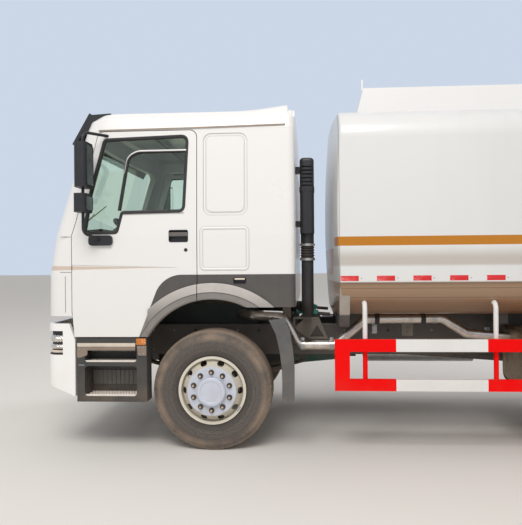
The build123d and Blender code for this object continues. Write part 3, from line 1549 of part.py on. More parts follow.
# Side guards: two bars on each side with an end plate, posts and arms to the frame
guard_front = 1084
guard_rear = 3900
guard_plate = 128
guard_depth = 40
guard_bars = [(559, 658), (895, 1000)]
guard_posts = [1327, 2440, 3560]
post_radius = 21
post_bend = 55
post_top_z = 1330
guard_bite = 2
with BuildPart() as side_guards:
    for side in (-1, 1):
        inner = side * (body_half_width - guard_depth)
        for bottom, top in guard_bars:
            with BuildSketch(Plane.XZ.offset(-inner)):
                with Locations((behind_axle(guard_front), bottom)):
                    Rectangle(guard_rear - guard_front, top - bottom, align=(Align.MIN, Align.MIN))
            extrude(amount=-side * guard_depth)
        with BuildSketch(Plane.XZ.offset(-inner)):
            with Locations((behind_axle(guard_front), guard_bars[0][0])):
                Rectangle(guard_plate, guard_bars[1][1] - guard_bars[0][0], align=(Align.MIN, Align.MIN))
            with Locations((behind_axle(guard_rear), guard_bars[0][0])):
                Rectangle(50, guard_bars[1][1] - guard_bars[0][0], align=(Align.MAX, Align.MIN))
        extrude(amount=-side * guard_depth)
        for x in guard_posts:
            post_x = behind_axle(x) + post_radius
            post_y = inner - side * (post_radius - guard_bite)
            with BuildLine():
                post_path = FilletPolyline(
                    (post_x, post_y, guard_bars[0][0] + 10),
                    (post_x, post_y, post_top_z - post_radius),
                    (post_x, post_y - side * 300, post_top_z - post_radius),
                    radius=post_bend,
                )
            with BuildSketch(Plane(origin=post_path @ 0, z_dir=post_path % 0)):
                Circle(post_radius)
            sweep()
    add(tank_form, mode=Mode.SUBTRACT)
side_guards.part.label = "side_guards"

# Coaming round the walkway on the tank's top
coaming_y = 700
coaming_wall = 10
coaming_top_z = 3319
coaming_front = (1300, 1395)
coaming_rear = (8480, 8400)
with BuildPart() as tank_coaming:
    with BuildSketch(Plane.XZ.offset(-coaming_y)):
        add(side_profile([
            (coaming_front[0], tank_top_z - 80),
            (coaming_front[1], coaming_top_z),
            (coaming_rear[1], coaming_top_z),
            (coaming_rear[0], tank_top_z - 80),
        ]))
    extrude(amount=2 * coaming_y)
    with BuildSketch(Plane.XZ.offset(-(coaming_y - coaming_wall))):
        add(side_profile([
            (coaming_front[0] + coaming_wall - 20, tank_top_z - 149),
            (coaming_front[1] + coaming_wall + 20, coaming_top_z + 69),
            (coaming_rear[1] - coaming_wall - 20, coaming_top_z + 69),
            (coaming_rear[0] - coaming_wall + 20, tank_top_z - 149),
        ]))
    extrude(amount=2 * (coaming_y - coaming_wall), mode=Mode.SUBTRACT)
    for side in (-1, 1):
        with BuildSketch(Plane.XY.offset(coaming_top_z - 20)):
            with Locations((behind_axle(coaming_front[1] - 12), side * (coaming_y - coaming_wall / 2))):
                Rectangle(14, coaming_wall)
        extrude(amount=100)
    add(tank_form, mode=Mode.SUBTRACT)
tank_coaming.part.label = "tank_coaming"

# Manhole: a collar on the tank and a hinged lid
manhole_x = 4700
collar_radius = 290
collar_top_z = 3130
lid_radius = 300
lid_height = 22
lid_hinge_x = manhole_x + 345
with BuildPart() as manhole_collar:
    with BuildSketch(Plane.XY.offset(tank_top_z - 60)):
        with Locations((behind_axle(manhole_x), 0)):
            Circle(collar_radius)
    extrude(amount=collar_top_z - tank_top_z + 60)
    with BuildSketch(Plane.XY.offset(collar_top_z - 30)):
        with Locations((behind_axle(manhole_x), 0)):
            Circle(collar_radius - 40)
    extrude(amount=30, mode=Mode.SUBTRACT)
    for y in (-80, 80):
        with BuildSketch(Plane.XZ.offset(-y + 10)):
            with Locations((behind_axle(manhole_x), tank_top_z - 20)):
                Rectangle(
                    lid_hinge_x - manhole_x + 22,
                    collar_top_z - tank_top_z + 55,
                    align=(Align.MIN, Align.MIN),
                )
        extrude(amount=-20)
    with BuildSketch(Plane.XY.offset(collar_top_z - 30)):
        with Locations((behind_axle(manhole_x), 0)):
            Circle(collar_radius - 40)
    extrude(amount=80, mode=Mode.SUBTRACT)
    with BuildSketch(Plane.XY.offset(collar_top_z)):
        with Locations((behind_axle(manhole_x), 0)):
            Circle(lid_radius + 8)
    extrude(amount=60, mode=Mode.SUBTRACT)
    with BuildSketch(Plane.XZ.offset(-100)):
        with Locations((behind_axle(lid_hinge_x), collar_top_z + 12)):
            Circle(9)
    extrude(amount=200)
    add(tank_form, mode=Mode.SUBTRACT)
manhole_collar.part.label = "manhole_collar"
with BuildPart() as manhole_lid:
    with BuildSketch(Plane.XY.offset(collar_top_z + seat_gap)):
        with Locations((behind_axle(manhole_x), 0)):
            Circle(lid_radius)
    extrude(amount=lid_height)
    with BuildSketch(Plane.XZ.offset(-60)):
        with Locations((behind_axle(lid_hinge_x), collar_top_z + 12)):
            Circle(20)
            Rectangle(100, 20, align=(Align.MAX, Align.CENTER))
            Circle(9.05, mode=Mode.SUBTRACT)
    extrude(amount=120)
manhole_lid.part.label = "manhole_lid"

# Ladder on the tank's rear end
ladder_y = 640
ladder_half_width = 190
ladder_bottom_z = 620
ladder_top_z = 3250
ladder_tube = 19
ladder_x = tank_rear + 90
rung_count = 9
ladder_stub_depth = 150
with BuildPart() as ladder:
    for side in (-1, 1):
        with BuildSketch(Plane.XY.offset(ladder_bottom_z)):
            with Locations((behind_axle(ladder_x), ladder_y + side * ladder_half_width)):
                Circle(ladder_tube)
        extrude(amount=ladder_top_z - ladder_bottom_z)
        for z in (1500, 2700):
            with BuildSketch(Plane.YZ.offset(behind_axle(tank_rear) - ladder_stub_depth)):
                with Locations((ladder_y + side * ladder_half_width, z)):
                    Circle(14)
            extrude(amount=ladder_x - tank_rear + ladder_stub_depth)
    for number in range(rung_count):
        with BuildSketch(Plane.XZ.offset(-ladder_y - ladder_half_width)):
            with Locations((behind_axle(ladder_x), ladder_bottom_z + 60 + 300 * number)):
                Circle(13)
        extrude(amount=2 * ladder_half_width)
    add(tank_form, mode=Mode.SUBTRACT)
ladder.part.label = "ladder"

# Rear underrun bar on stays from the rails, with the lamp brackets above it
underrun_depth = 90
underrun_bottom_z = 470
underrun_height = 120
underrun_half_width = 1180
lamp_bracket_z = 700
with BuildPart() as rear_bumper:
    with BuildSketch(Plane.YZ.offset(rear_x - underrun_depth)):
        with Locations((0, underrun_bottom_z + underrun_height / 2)):
            RectangleRounded(2 * underrun_half_width, underrun_height, 20)
    extrude(amount=underrun_depth)
    with BuildSketch(Plane.YZ.offset(rear_x - underrun_depth)):
        with Locations((0, lamp_bracket_z + 60)):
            Rectangle(2 * underrun_half_width, 14)
    extrude(amount=50)
    for side in (-1, 1):
        with BuildSketch(Plane.YZ.offset(frame_rear_x)):
            with Locations((side * (frame_half_width - 40), (underrun_bottom_z + frame_top_z) / 2)):
                Rectangle(60, frame_top_z - underrun_bottom_z)
        extrude(amount=rear_x - underrun_depth - frame_rear_x)
rear_bumper.part.label = "rear_bumper"
with BuildPart() as rear_lamps:
    for side in (-1, 1):
        with BuildSketch(Plane.YZ.offset(rear_x - underrun_depth + 50)):
            with Locations((side * 960, lamp_bracket_z + 60)):
                RectangleRounded(400, 130, 18)
        extrude(amount=30)
rear_lamps.part.label = "rear_lamps"

# Discharge pipe under the tank's rear end, with a flanged outlet
outlet_z = 960
outlet_y = -250
outlet_bore_radius = 40
outlet_pipe_radius = 46
flange_radius = 100
flange_thickness = 20
flange_circle_radius = 80
flange_hole_radius = 9
flange_hole_count = 8
outlet_x = rear_x - 45
outlet_depth = 160
with BuildPart() as discharge_pipe:
    with BuildLine():
        drain = FilletPolyline(
            (behind_axle(tank_rear - 200), outlet_y, tank_bottom_z + 10),
            (behind_axle(tank_rear - 200), outlet_y, outlet_z),
            (outlet_x, outlet_y, outlet_z),
            radius=110,
        )
    with BuildSketch(Plane(origin=drain @ 0, z_dir=drain % 0)):
        Circle(outlet_pipe_radius)
    sweep()
    with BuildSketch(Plane.YZ.offset(outlet_x - flange_thickness)):
        with Locations((outlet_y, outlet_z)):
            Circle(flange_radius)
            with PolarLocations(flange_circle_radius, flange_hole_count):
                Circle(flange_hole_radius, mode=Mode.SUBTRACT)
    extrude(amount=flange_thickness)
    with BuildSketch(Plane.YZ.offset(outlet_x - outlet_depth)):
        with Locations((outlet_y, outlet_z)):
            Circle(outlet_bore_radius)
    extrude(amount=outlet_depth, mode=Mode.SUBTRACT)
    add(tank_form, mode=Mode.SUBTRACT)
discharge_pipe.part.label = "discharge_pipe"

# Rear cab support: an arch over the gearbox with the two latch blocks that the cab's floor rests on,
# and the plates bolted to the rails behind it
support_x = 600
support_length = 80
support_beam_z = (1100, 1160)
latch_y = 455
latch_width = 60
side_plate_thickness = 14
side_plate_outline = [(700, 1010), (700, 1119), (960, 1119), (1050, 900), (860, 900)]
side_plate_openings = [
    [(722, 1022), (722, 1098), (810, 1098)],
    [(868, 922), (940, 1040), (1012, 922)],
]
side_plate_boss = (845, 1040, 34)
with BuildPart() as cab_support:
    with BuildSketch(Plane.YZ.offset(behind_axle(support_x))):
        with BuildLine():
            Polyline(
                (-frame_half_width, frame_top_z),
                (-latch_y - latch_width / 2, support_beam_z[1]),
                (latch_y + latch_width / 2, support_beam_z[1]),
                (frame_half_width, frame_top_z),
                (frame_half_width - frame_flange, frame_top_z),
                (frame_half_width - frame_flange, support_beam_z[0]),
                (-frame_half_width + frame_flange, support_beam_z[0]),
                (-frame_half_width + frame_flange, frame_top_z),
                close=True,
            )
        make_face()
        with Locations((-latch_y, support_beam_z[1]), (latch_y, support_beam_z[1])):
            latch_height = cab_floor_z - seat_gap - support_beam_z[1]
            Rectangle(latch_width, latch_height, align=(Align.CENTER, Align.MIN))
    extrude(amount=support_length)
    # plates on the outer faces of the rails, each with a boss and two three-cornered openings
    for side in (-1, 1):
        with BuildSketch(Plane.XZ.offset(-side * frame_half_width)):
            with BuildLine():
                Polyline([(behind_axle(x), z) for x, z in side_plate_outline], close=True)
            make_face()
            for opening in side_plate_openings:
                with BuildLine():
                    Polyline([(behind_axle(x), z) for x, z in opening], close=True)
                make_face(mode=Mode.SUBTRACT)
        extrude(amount=-side * side_plate_thickness)
        with BuildSketch(Plane.XZ.offset(-side * (frame_half_width + side_plate_thickness))):
            with Locations((behind_axle(side_plate_boss[0]), side_plate_boss[1])):
                Circle(side_plate_boss[2])
        extrude(amount=-side * side_plate_thickness)
cab_support.part.label = "cab_support"

for piece in (
    [node.part for node in (
        cab_shell, arch_trims, trim_left, trim_right, door_left, door_right,
        door_glass_left, door_glass_right, windscreen, front_lid, mirror_left, mirror_right,
        sun_visor, snorkel, air_intake, seats, sleeper_bunk, dashboard, front_bumper, headlamps,
        cab_steps, front_axle, track_rod, frame_rails, tank_shell, subframe, drive_axles,
        leaf_springs, engine_block, gearbox, propshafts, silencer, exhaust_pipe, air_tanks,
        mudguards, side_guards, tank_coaming, manhole_collar, manhole_lid, ladder,
        rear_bumper, rear_lamps, discharge_pipe, cab_support,
    )] + rolling_parts + equipment
):
    export_step(piece, f"parts/{piece.label}.step")
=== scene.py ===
import json
from math import cos, exp, hypot, pi, radians, sin, sqrt, tan

import bmesh
import bpy
from mathutils import Matrix, Vector


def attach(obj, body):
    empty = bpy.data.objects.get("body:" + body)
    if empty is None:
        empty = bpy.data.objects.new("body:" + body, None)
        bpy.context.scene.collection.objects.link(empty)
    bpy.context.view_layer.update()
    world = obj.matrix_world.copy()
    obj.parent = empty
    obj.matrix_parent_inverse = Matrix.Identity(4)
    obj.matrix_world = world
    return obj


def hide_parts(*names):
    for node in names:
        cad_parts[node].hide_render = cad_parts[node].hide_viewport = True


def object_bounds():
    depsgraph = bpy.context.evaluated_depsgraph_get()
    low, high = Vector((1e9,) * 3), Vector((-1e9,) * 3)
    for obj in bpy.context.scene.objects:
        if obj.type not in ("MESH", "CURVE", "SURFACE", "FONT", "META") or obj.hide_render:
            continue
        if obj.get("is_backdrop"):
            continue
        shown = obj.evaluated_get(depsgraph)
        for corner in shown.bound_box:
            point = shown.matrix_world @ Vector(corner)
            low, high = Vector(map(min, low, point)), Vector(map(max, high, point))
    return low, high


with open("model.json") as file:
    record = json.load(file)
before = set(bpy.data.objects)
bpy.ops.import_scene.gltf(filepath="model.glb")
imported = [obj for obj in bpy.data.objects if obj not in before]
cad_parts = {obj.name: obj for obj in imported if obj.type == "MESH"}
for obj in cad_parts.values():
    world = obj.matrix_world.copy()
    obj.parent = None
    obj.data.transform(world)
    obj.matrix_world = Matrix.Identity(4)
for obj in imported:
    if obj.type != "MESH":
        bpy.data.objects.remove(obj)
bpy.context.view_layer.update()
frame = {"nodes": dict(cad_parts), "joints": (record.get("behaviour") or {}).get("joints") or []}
nodes = frame["nodes"]

# The whole script is in metres. +X points to the truck's rear, +Y to its right-hand side, +Z up.
# Stations along the truck are given as distances behind the front axle.
joint_places = {joint["name"]: Vector(joint["pos_m"]) for joint in frame["joints"]}
front_axle_x = joint_places["front_left_wheel_spin"].x
wheel_z = joint_places["front_left_wheel_spin"].z
SIDES = {"left": -1, "right": 1}

# The cab's side face: it stands upright to the shoulder and leans inward above it
cab_half_width = 1.24
cab_shoulder_z = 1.91
gutter_z = 2.852
gutter_half_width = 1.205


def behind(distance):
    """X of a point that lies this far behind the front axle."""
    return front_axle_x + distance


def circle(steps, shift=0):
    """Equal angles once round, moved on by a share of a step."""
    return [2 * pi * (k + shift) / steps for k in range(steps)]


def cab_side(z):
    """Half width of the cab's side face at a height."""
    lean = max(0.0, z - cab_shoulder_z) / (gutter_z - cab_shoulder_z)
    return cab_half_width - lean * (cab_half_width - gutter_half_width)


# Camera, at the photograph's place: beside the front wheel, turned a little towards the cab
photo_width = 522
photo_height = 525
focal_length_px = 570.4
principal_point_x = 277
camera_yaw = radians(3.4)
camera_roll = 0.008
camera_place = Vector((behind(0.884), -6.165, 1.6675))


def add_object(name, data):
    made = bpy.data.objects.new(name, data)
    bpy.context.scene.collection.objects.link(made)
    return made


def make_camera():
    data = bpy.data.cameras.new("camera")
    data.sensor_width = 36.0
    data.lens = focal_length_px * data.sensor_width / photo_height
    data.shift_x = -(principal_point_x - photo_width / 2) / photo_height
    data.clip_start = 0.1
    data.clip_end = 200
    camera = add_object("camera", data)
    turn = Matrix.Rotation(camera_yaw, 4, "Z") @ Matrix.Rotation(radians(90), 4, "X")
    camera.matrix_world = Matrix.Translation(camera_place) @ turn @ Matrix.Rotation(-camera_roll, 4, "Z")
    bpy.context.scene.camera = camera


make_camera()


# Materials
DUST = (0.4, 0.27, 0.17)
PALE_DUST = (0.62, 0.5, 0.38)
FINISHES = {}


def feed(tree, socket, value):
    """Links an output to a socket, or sets the socket's own value."""
    if isinstance(value, bpy.types.NodeSocket):
        tree.links.new(value, socket)
    elif isinstance(value, (tuple, list)):
        socket.default_value = (*value, 1) if len(value) == 3 and socket.type == "RGBA" else value
    else:
        socket.default_value = value


def add_node(tree, kind, inputs, **settings):
    """A new node with its settings, and a link or a value for each of the named inputs."""
    made = tree.nodes.new(kind)
    for key, value in settings.items():
        setattr(made, key, value)
    for name, value in inputs.items():
        feed(tree, made.inputs[name], value)
    return made


class Finish:
    """A procedural material: one shader and the nodes that feed it."""

    def __init__(self, name, colour, roughness, metallic=0.0, coat=0.0, specular=0.5, transmission=0.0):
        self.name = name
        self.material = bpy.data.materials.new(name)
        self.material.use_nodes = True
        self.material.diffuse_color = (*colour, 1)
        self.tree = self.material.node_tree
        self.shader = self.tree.nodes["Principled BSDF"]
        self.surface({
            "Metallic": metallic, "Coat Weight": coat, "Coat Roughness": 0.08, "Specular IOR Level": specular,
            "Roughness": roughness, "Base Color": colour, "Transmission Weight": transmission,
        })
        self.place = self.node("ShaderNodeTexCoord").outputs["Object"]
        self.colour = self.node("ShaderNodeRGB").outputs[0]
        self.colour.default_value = (*colour, 1)
        self.coordinates = None
        self.relief = None

    def surface(self, inputs):
        """Feeds the shader's own inputs."""
        for name, value in inputs.items():
            feed(self.tree, self.shader.inputs[name], value)
        return self

    def node(self, kind, inputs={}, **settings):
        return add_node(self.tree, kind, inputs, **settings)

    def math(self, operation, a, b=0.0):
        return self.node("ShaderNodeMath", {0: a, 1: b}, operation=operation).outputs[0]

    def times(self, value, *others):
        for other in others:
            value = self.math("MULTIPLY", value, other)
        return value

    def length(self, a, b):
        squares = self.math("ADD", self.math("MULTIPLY", a, a), self.math("MULTIPLY", b, b))
        return self.math("SQRT", squares)

    def noise(self, scale, detail=4.0, stretch=(1, 1, 1)):
        mapping = self.node("ShaderNodeMapping", {"Scale": stretch, "Vector": self.place})
        return self.node("ShaderNodeTexNoise", {
            "Vector": mapping.outputs[0], "Scale": scale, "Detail": detail, "Roughness": 0.6,
        }).outputs["Fac"]

    def band(self, value, low, high):
        """0 below the low value, 1 above the high one, and a smooth rise between."""
        inputs = {"Value": value, "From Min": low, "From Max": high}
        return self.node("ShaderNodeMapRange", inputs, interpolation_type="SMOOTHSTEP").outputs[0]

    def fall(self, value, low, high):
        """1 below the low value, 0 above the high one, and a smooth fall between."""
        return self.math("SUBTRACT", 1.0, self.band(value, low, high))

    def between(self, value, low, high, soft=0.0005):
        """1 between two values and 0 outside them."""
        rise = self.band(value, low - soft, low + soft)
        return self.math("SUBTRACT", rise, self.band(value, high - soft, high + soft))

    def line(self, value, at, half_width):
        """A thin line with soft edges where the value is at a number."""
        return self.between(value, at - half_width, at + half_width, 0.002)

    def patches(self, scale, low, high, detail=4.0, stretch=(1, 1, 1)):
        return self.band(self.noise(scale, detail, stretch), low, high)

    def axis(self, name):
        """The X, Y or Z of the shaded point."""
        if not self.coordinates:
            self.coordinates = self.node("ShaderNodeSeparateXYZ", {0: self.place}).outputs
        return self.coordinates[name]

    def outside(self, low, high):
        """0 nearer to the truck's middle plane than the low distance, 1 past the high one."""
        return self.band(self.math("ABSOLUTE", self.axis("Y")), low, high)

    def radius(self, x, z):
        """Distance from an axis across the truck at that X and Z."""
        return self.length(self.math("SUBTRACT", self.axis("X"), x), self.math("SUBTRACT", self.axis("Z"), z))

    def from_frame(self, front, rear, low, high, corner):
        """Distance outside a rounded rectangle seen from the side, negative inside it."""
        reach = []
        for name, start, end in (("X", behind(front), behind(rear)), ("Z", low, high)):
            offset = self.math("ABSOLUTE", self.math("SUBTRACT", self.axis(name), (start + end) / 2))
            reach.append(self.math("SUBTRACT", offset, (end - start) / 2 - corner))
        outside = self.length(*[self.math("MAXIMUM", value, 0.0) for value in reach])
        inside = self.math("MINIMUM", self.math("MAXIMUM", *reach), 0.0)
        return self.math("SUBTRACT", self.math("ADD", outside, inside), corner)

    def paint(self, colour, *masks, blend="MIX"):
        """Lays a colour over what is there, as strongly as the masks' product says."""
        made = self.node("ShaderNodeMix", data_type="RGBA", blend_type=blend)
        for name, value in (("Factor", self.times(*masks)), ("A", self.colour), ("B", colour)):
            feed(self.tree, made.inputs[name], value)
        self.colour = made.outputs["Result"]
        return self

    def mottle(self, scale, amount, dark=0.7):
        """Uneven patches, darker than the base colour."""
        return self.paint((dark, dark, dark), self.patches(scale, 0.35, 0.7), amount, blend="MULTIPLY")

    def dust(self, top=1.0, amount=0.5, on_top=0.3, colour=DUST, scale=5.0):
        """Road dust: thick near the ground, thin above, and on surfaces that face up."""
        height = self.fall(self.axis("Z"), 0.2, top)
        normal = self.node("ShaderNodeNewGeometry").outputs["Normal"]
        facing = self.node("ShaderNodeSeparateXYZ", {0: normal}).outputs["Z"]
        patches = self.patches(scale, 0.32, 0.68, detail=8.0)
        low = self.times(height, patches, amount)
        lying = self.times(self.band(facing, 0.3, 1.0), patches, on_top)
        return self.paint(colour, self.math("MAXIMUM", low, lying))

    def rough(self, low, high, scale=30.0):
        """Roughness that varies between two values."""
        made = self.node("ShaderNodeMapRange", {
            "Value": self.noise(scale), "From Min": 0.3, "From Max": 0.7, "To Min": low, "To Max": high,
        })
        return self.surface({"Roughness": made.outputs[0]})

    def bump(self, height, distance):
        """Relief of a given depth, in metres, added to what is there."""
        made = self.node("ShaderNodeBump", {"Height": height, "Distance": distance, "Strength": 1.0})
        if self.relief:
            feed(self.tree, made.inputs["Normal"], self.relief)
        self.relief = made.outputs[0]
        return self.surface({"Normal": self.relief})

    def grain(self, scale, distance):
        return self.bump(self.noise(scale, detail=3.0), distance)

    def flutes(self, direction, scale, depth):
        """Straight ribs, as in a lamp's cover or its reflector."""
        made = self.node("ShaderNodeTexWave", {"Vector": self.place, "Scale": scale},
                         wave_type="BANDS", bands_direction=direction)
        return self.bump(made.outputs["Fac"], depth)

    def done(self):
        FINISHES[self.name] = self.surface({"Base Color": self.colour}).material


# The crease along the door's foot
crease_front = -1.3
crease_rear = -0.273
crease_z = 1.632
crease_half_height = 0.02

# Pressings beside the doors: front, rear, bottom, top, corner radius
UPPER_PRESSING = (-0.056, 0.34, 2.08, 2.809, 0.075)
LOWER_PRESSING = (-0.081, 0.349, 1.603, 1.985, 0.045)


def cab_paint():
    """White paint, with painted shade in a tan tone along the door's crease and painted shade in thin lines
    along the pressings' edges.
    """
    finish = Finish("cab_paint", (0.83, 0.82, 0.81), 0.28, coat=0.35)
    finish.mottle(0.9, 0.2, dark=0.95)
    finish.dust(top=1.35, amount=0.2, on_top=0.08, colour=PALE_DUST, scale=2.2)
    # Painted shade in a tan tone along the door's crease, narrowing towards its rear
    slope = crease_half_height / (crease_rear - crease_front)
    taper = finish.times(finish.math("SUBTRACT", behind(crease_rear), finish.axis("X")), slope)
    offset = finish.math("ABSOLUTE", finish.math("SUBTRACT", finish.axis("Z"), crease_z))
    inside = finish.math("SUBTRACT", taper, offset)
    finish.paint((0.6, 0.46, 0.35), finish.band(inside, 0.0, 0.004), 0.8)
    # Painted shade: thin grey lines along the pressings' edges, where shade gathers
    beside = finish.outside(1.18, 1.19)
    for pressing, lines in ((UPPER_PRESSING, (-0.005, -0.027)), (LOWER_PRESSING, (0.0015, -0.0255))):
        distance = finish.from_frame(*pressing)
        for at in lines:
            finish.paint((0.36, 0.33, 0.31), finish.line(distance, at, 0.0035), beside, 0.45)
    finish.rough(0.27, 0.31, 3.0).done()


tank_front = 1.131
stripe_low_z = 1.807
stripe_high_z = 1.886
band_low_z = 1.495
front_stripe = (1.55, 1.79)
OCHRE = (0.5, 0.185, 0.0)
# Painted shade and brown painted reflection of the ground, for the tank's underside
UNDERSIDE = (0.27, 0.155, 0.085)


def tank_paint():
    """White paint with an ochre stripe round the sides and a little dust; painted shade below the stripe and
    on the front dish, and painted shade with a painted ground reflection below the band's foot.
    """
    finish = Finish("tank_paint", (0.745, 0.75, 0.745), 0.3, coat=0.3)
    streaks = finish.patches(1.4, 0.35, 0.7, detail=3.0, stretch=(1, 1, 0.12))
    finish.paint((0.66, 0.66, 0.65), streaks, 0.5)
    z = finish.axis("Z")
    # Painted shade with a warm painted reflection of the ground, below the stripe where the tank's side turns
    # downward
    painted_shade_band = finish.math("SUBTRACT", finish.band(z, 1.618, 1.65), finish.band(z, 1.69, stripe_low_z))
    finish.paint((0.44, 0.39, 0.33), painted_shade_band, 0.7)
    finish.dust(top=1.6, amount=0.1, on_top=0.12, colour=(0.55, 0.42, 0.3))
    # Painted shade and brown painted reflection of the ground below the band's foot
    finish.paint(UNDERSIDE, finish.fall(z, band_low_z - 0.012, band_low_z))
    # A lighter tan painted reflection of the ground across the underside
    finish.paint((0.43, 0.29, 0.185), finish.between(z, 1.33, 1.48, 0.03), 0.55)
    # Thin dark lines along the underside at three heights
    for line_z in (1.438, 1.355, 1.214):
        finish.paint((0.12, 0.07, 0.045), finish.line(z, line_z, 0.003), 0.6)
    seam_x = behind(tank_front)
    barrel = finish.band(finish.axis("X"), seam_x - 0.045, seam_x - 0.04)
    front_end = finish.math("SUBTRACT", 1.0, barrel)
    beside = finish.outside(1.0, 1.02)
    # Painted shade with a bluish painted reflection on the front dish's sides
    finish.paint((0.4, 0.43, 0.48), front_end, finish.band(z, 1.3, 1.5), beside, 0.75)
    finish.paint((0.3, 0.28, 0.27), finish.line(finish.axis("X"), seam_x, 0.004), 0.65)
    finish.paint(OCHRE, finish.between(z, stripe_low_z, stripe_high_z), beside, barrel)
    finish.paint(OCHRE, finish.between(z, *front_stripe), front_end)
    finish.rough(0.28, 0.34, 2.0).done()


arch_centre = (0.02, 0.69)
arch_lip_radius = 0.805
arch_step_radius = 0.722


def trim_plastic():
    """Charcoal trim with a grey arch lip, whose outer band has a painted highlight where it faces the sky and
    a painted shade line in its step.
    """
    finish = Finish("trim_plastic", (0.088, 0.082, 0.077), 0.55)
    radius = finish.radius(behind(arch_centre[0]), arch_centre[1])
    lip = finish.fall(radius, arch_lip_radius - 0.004, arch_lip_radius)
    finish.paint((0.24, 0.225, 0.213), lip)
    outer = finish.band(radius, arch_step_radius, arch_step_radius + 0.006)
    # Painted highlight: the lip's outer band lighter towards its top, where it faces the sky
    painted_highlight = finish.band(finish.axis("Z"), 1.15, 1.46)
    finish.paint((0.58, 0.545, 0.52), lip, outer, painted_highlight, 0.9)
    # Painted shade: a thin dark line in the step of the lip
    step = finish.between(radius, arch_step_radius - 0.006, arch_step_radius + 0.002, 0.003)
    finish.paint((0.07, 0.065, 0.06), step, 0.8)
    finish.mottle(9.0, 0.4, dark=0.8)
    finish.dust(top=1.9, amount=0.12, on_top=0.25)
    finish.rough(0.5, 0.7, 25.0).grain(900.0, 0.0003).done()


def weather(finish, roughness, rust=0.0, dust_amount=0.4, dark=0.7):
    """The patches, rust, dust and grain that all painted steel has."""
    finish.mottle(8.0, 0.5, dark)
    if rust:
        finish.paint((0.16, 0.06, 0.025), finish.patches(11.0, 0.52, 0.68, detail=9.0), rust)
    finish.dust(top=1.2, amount=dust_amount, on_top=0.4)
    finish.rough(roughness - 0.08, roughness + 0.15, 20.0).grain(120.0, 0.0006).done()


def engine_paint():
    """Green paint, near black with painted shade where it lies in the arch above the wheels."""
    finish = Finish("engine_green", (0.012, 0.085, 0.062), 0.5)
    # Painted shade: near black where the engine lies in the arch under the cab
    in_arch = finish.fall(finish.axis("X"), behind(0.52), behind(0.72))
    finish.paint((0.012, 0.013, 0.012), in_arch, 0.9)
    weather(finish, 0.5, dust_amount=0.3, dark=0.6)


def subframe_paint():
    """Dark rails below, and the tank's feet in dusty grey."""
    finish = Finish("subframe_paint", (0.098, 0.09, 0.083), 0.55)
    finish.paint((0.42, 0.38, 0.33), finish.outside(0.76, 0.78), finish.band(finish.axis("Z"), 1.19, 1.21))
    weather(finish, 0.55)


guard_first_white = 1.606
guard_pitch = 0.77
guard_top_z = 1.004
GUARD_RED = (0.92, 0.001, 0.001)
GUARD_WHITE = (0.8, 0.79, 0.78)


def guard_paint():
    """Red and white lengths along the side guard's bars, and posts that are white above the top bar."""
    finish = Finish("guard_paint", GUARD_RED, 0.42, specular=0.12)
    start = behind(guard_first_white)
    along = finish.math("SUBTRACT", finish.axis("X"), start)
    phase = finish.math("MODULO", finish.math("ADD", along, 20 * guard_pitch), 2 * guard_pitch)
    white = finish.fall(phase, guard_pitch - 0.001, guard_pitch + 0.001)
    past_plate = finish.band(finish.axis("X"), start - 0.002, start)
    finish.paint(GUARD_WHITE, white, past_plate, finish.outside(1.196, 1.199))
    finish.paint(GUARD_WHITE, finish.band(finish.axis("Z"), guard_top_z - 0.002, guard_top_z))
    finish.mottle(6.0, 0.2, dark=0.85)
    finish.dust(top=0.9, amount=0.12, on_top=0.25)
    finish.rough(0.38, 0.5, 15.0).done()


def underrun_paint():
    """Slanting red and white fields on the rear bar."""
    finish = Finish("underrun_paint", GUARD_RED, 0.42, specular=0.25)
    slant = finish.math("ADD", finish.axis("Y"), finish.axis("Z"))
    phase = finish.math("MODULO", finish.math("ADD", slant, 10.0), 0.36)
    finish.paint(GUARD_WHITE, finish.between(phase, 0.0, 0.18, 0.001))
    finish.mottle(8.0, 0.35, dark=0.75)
    finish.dust(top=1.0, amount=0.35, on_top=0.4)
    finish.rough(0.3, 0.5, 15.0).done()


tyre_radius = 0.535
hub_face_radius = 0.219


def tyre_rubber(name, axle_x):
    """Rubber browned by dust: tan on the shoulder, with darker rings round the side wall."""
    finish = Finish(name, (0.118, 0.102, 0.092), 0.8, specular=0.35)
    radius = finish.radius(axle_x, wheel_z)
    finish.paint((0.235, 0.205, 0.18), finish.patches(70.0, 0.35, 0.65, detail=6.0), 0.35)
    turned = {"W": finish.times(radius, 75.0)}
    rings = finish.node("ShaderNodeTexNoise", turned, noise_dimensions="1D").outputs["Fac"]
    finish.paint((0.034, 0.03, 0.028), finish.band(rings, 0.48, 0.58), 0.7)
    shoulder = finish.between(radius, tyre_radius - 0.085, tyre_radius - 0.02, 0.03)
    finish.paint((0.4, 0.295, 0.215), shoulder, finish.patches(3.5, 0.3, 0.7, detail=5.0), 0.6)
    finish.paint((0.34, 0.255, 0.19), finish.band(radius, tyre_radius - 0.03, tyre_radius - 0.004), 0.7)
    finish.paint((0.04, 0.035, 0.032), finish.fall(radius, 0.3, 0.375), 0.7)
    finish.bump(rings, 0.0012).rough(0.66, 0.85, 20.0).grain(160.0, 0.0008).done()


def wheel_paint(name, axle_x):
    """Cream paint, with the hub's face in a bluer grey and a painted highlight on the rim's outer flange."""
    finish = Finish(name, (0.66, 0.62, 0.53), 0.38, metallic=0.1, coat=0.2)
    radius = finish.radius(axle_x, wheel_z)
    finish.paint((0.62, 0.66, 0.76), finish.fall(radius, hub_face_radius - 0.003, hub_face_radius))
    # Painted highlight: the rim's outer flange lighter
    finish.paint((0.74, 0.7, 0.6), finish.band(radius, 0.284, 0.288))
    finish.mottle(12.0, 0.25, dark=0.8)
    finish.dust(top=1.2, amount=0.15, on_top=0.15, colour=(0.36, 0.26, 0.17), scale=9.0)
    finish.rough(0.34, 0.55, 22.0).grain(60.0, 0.0005).done()


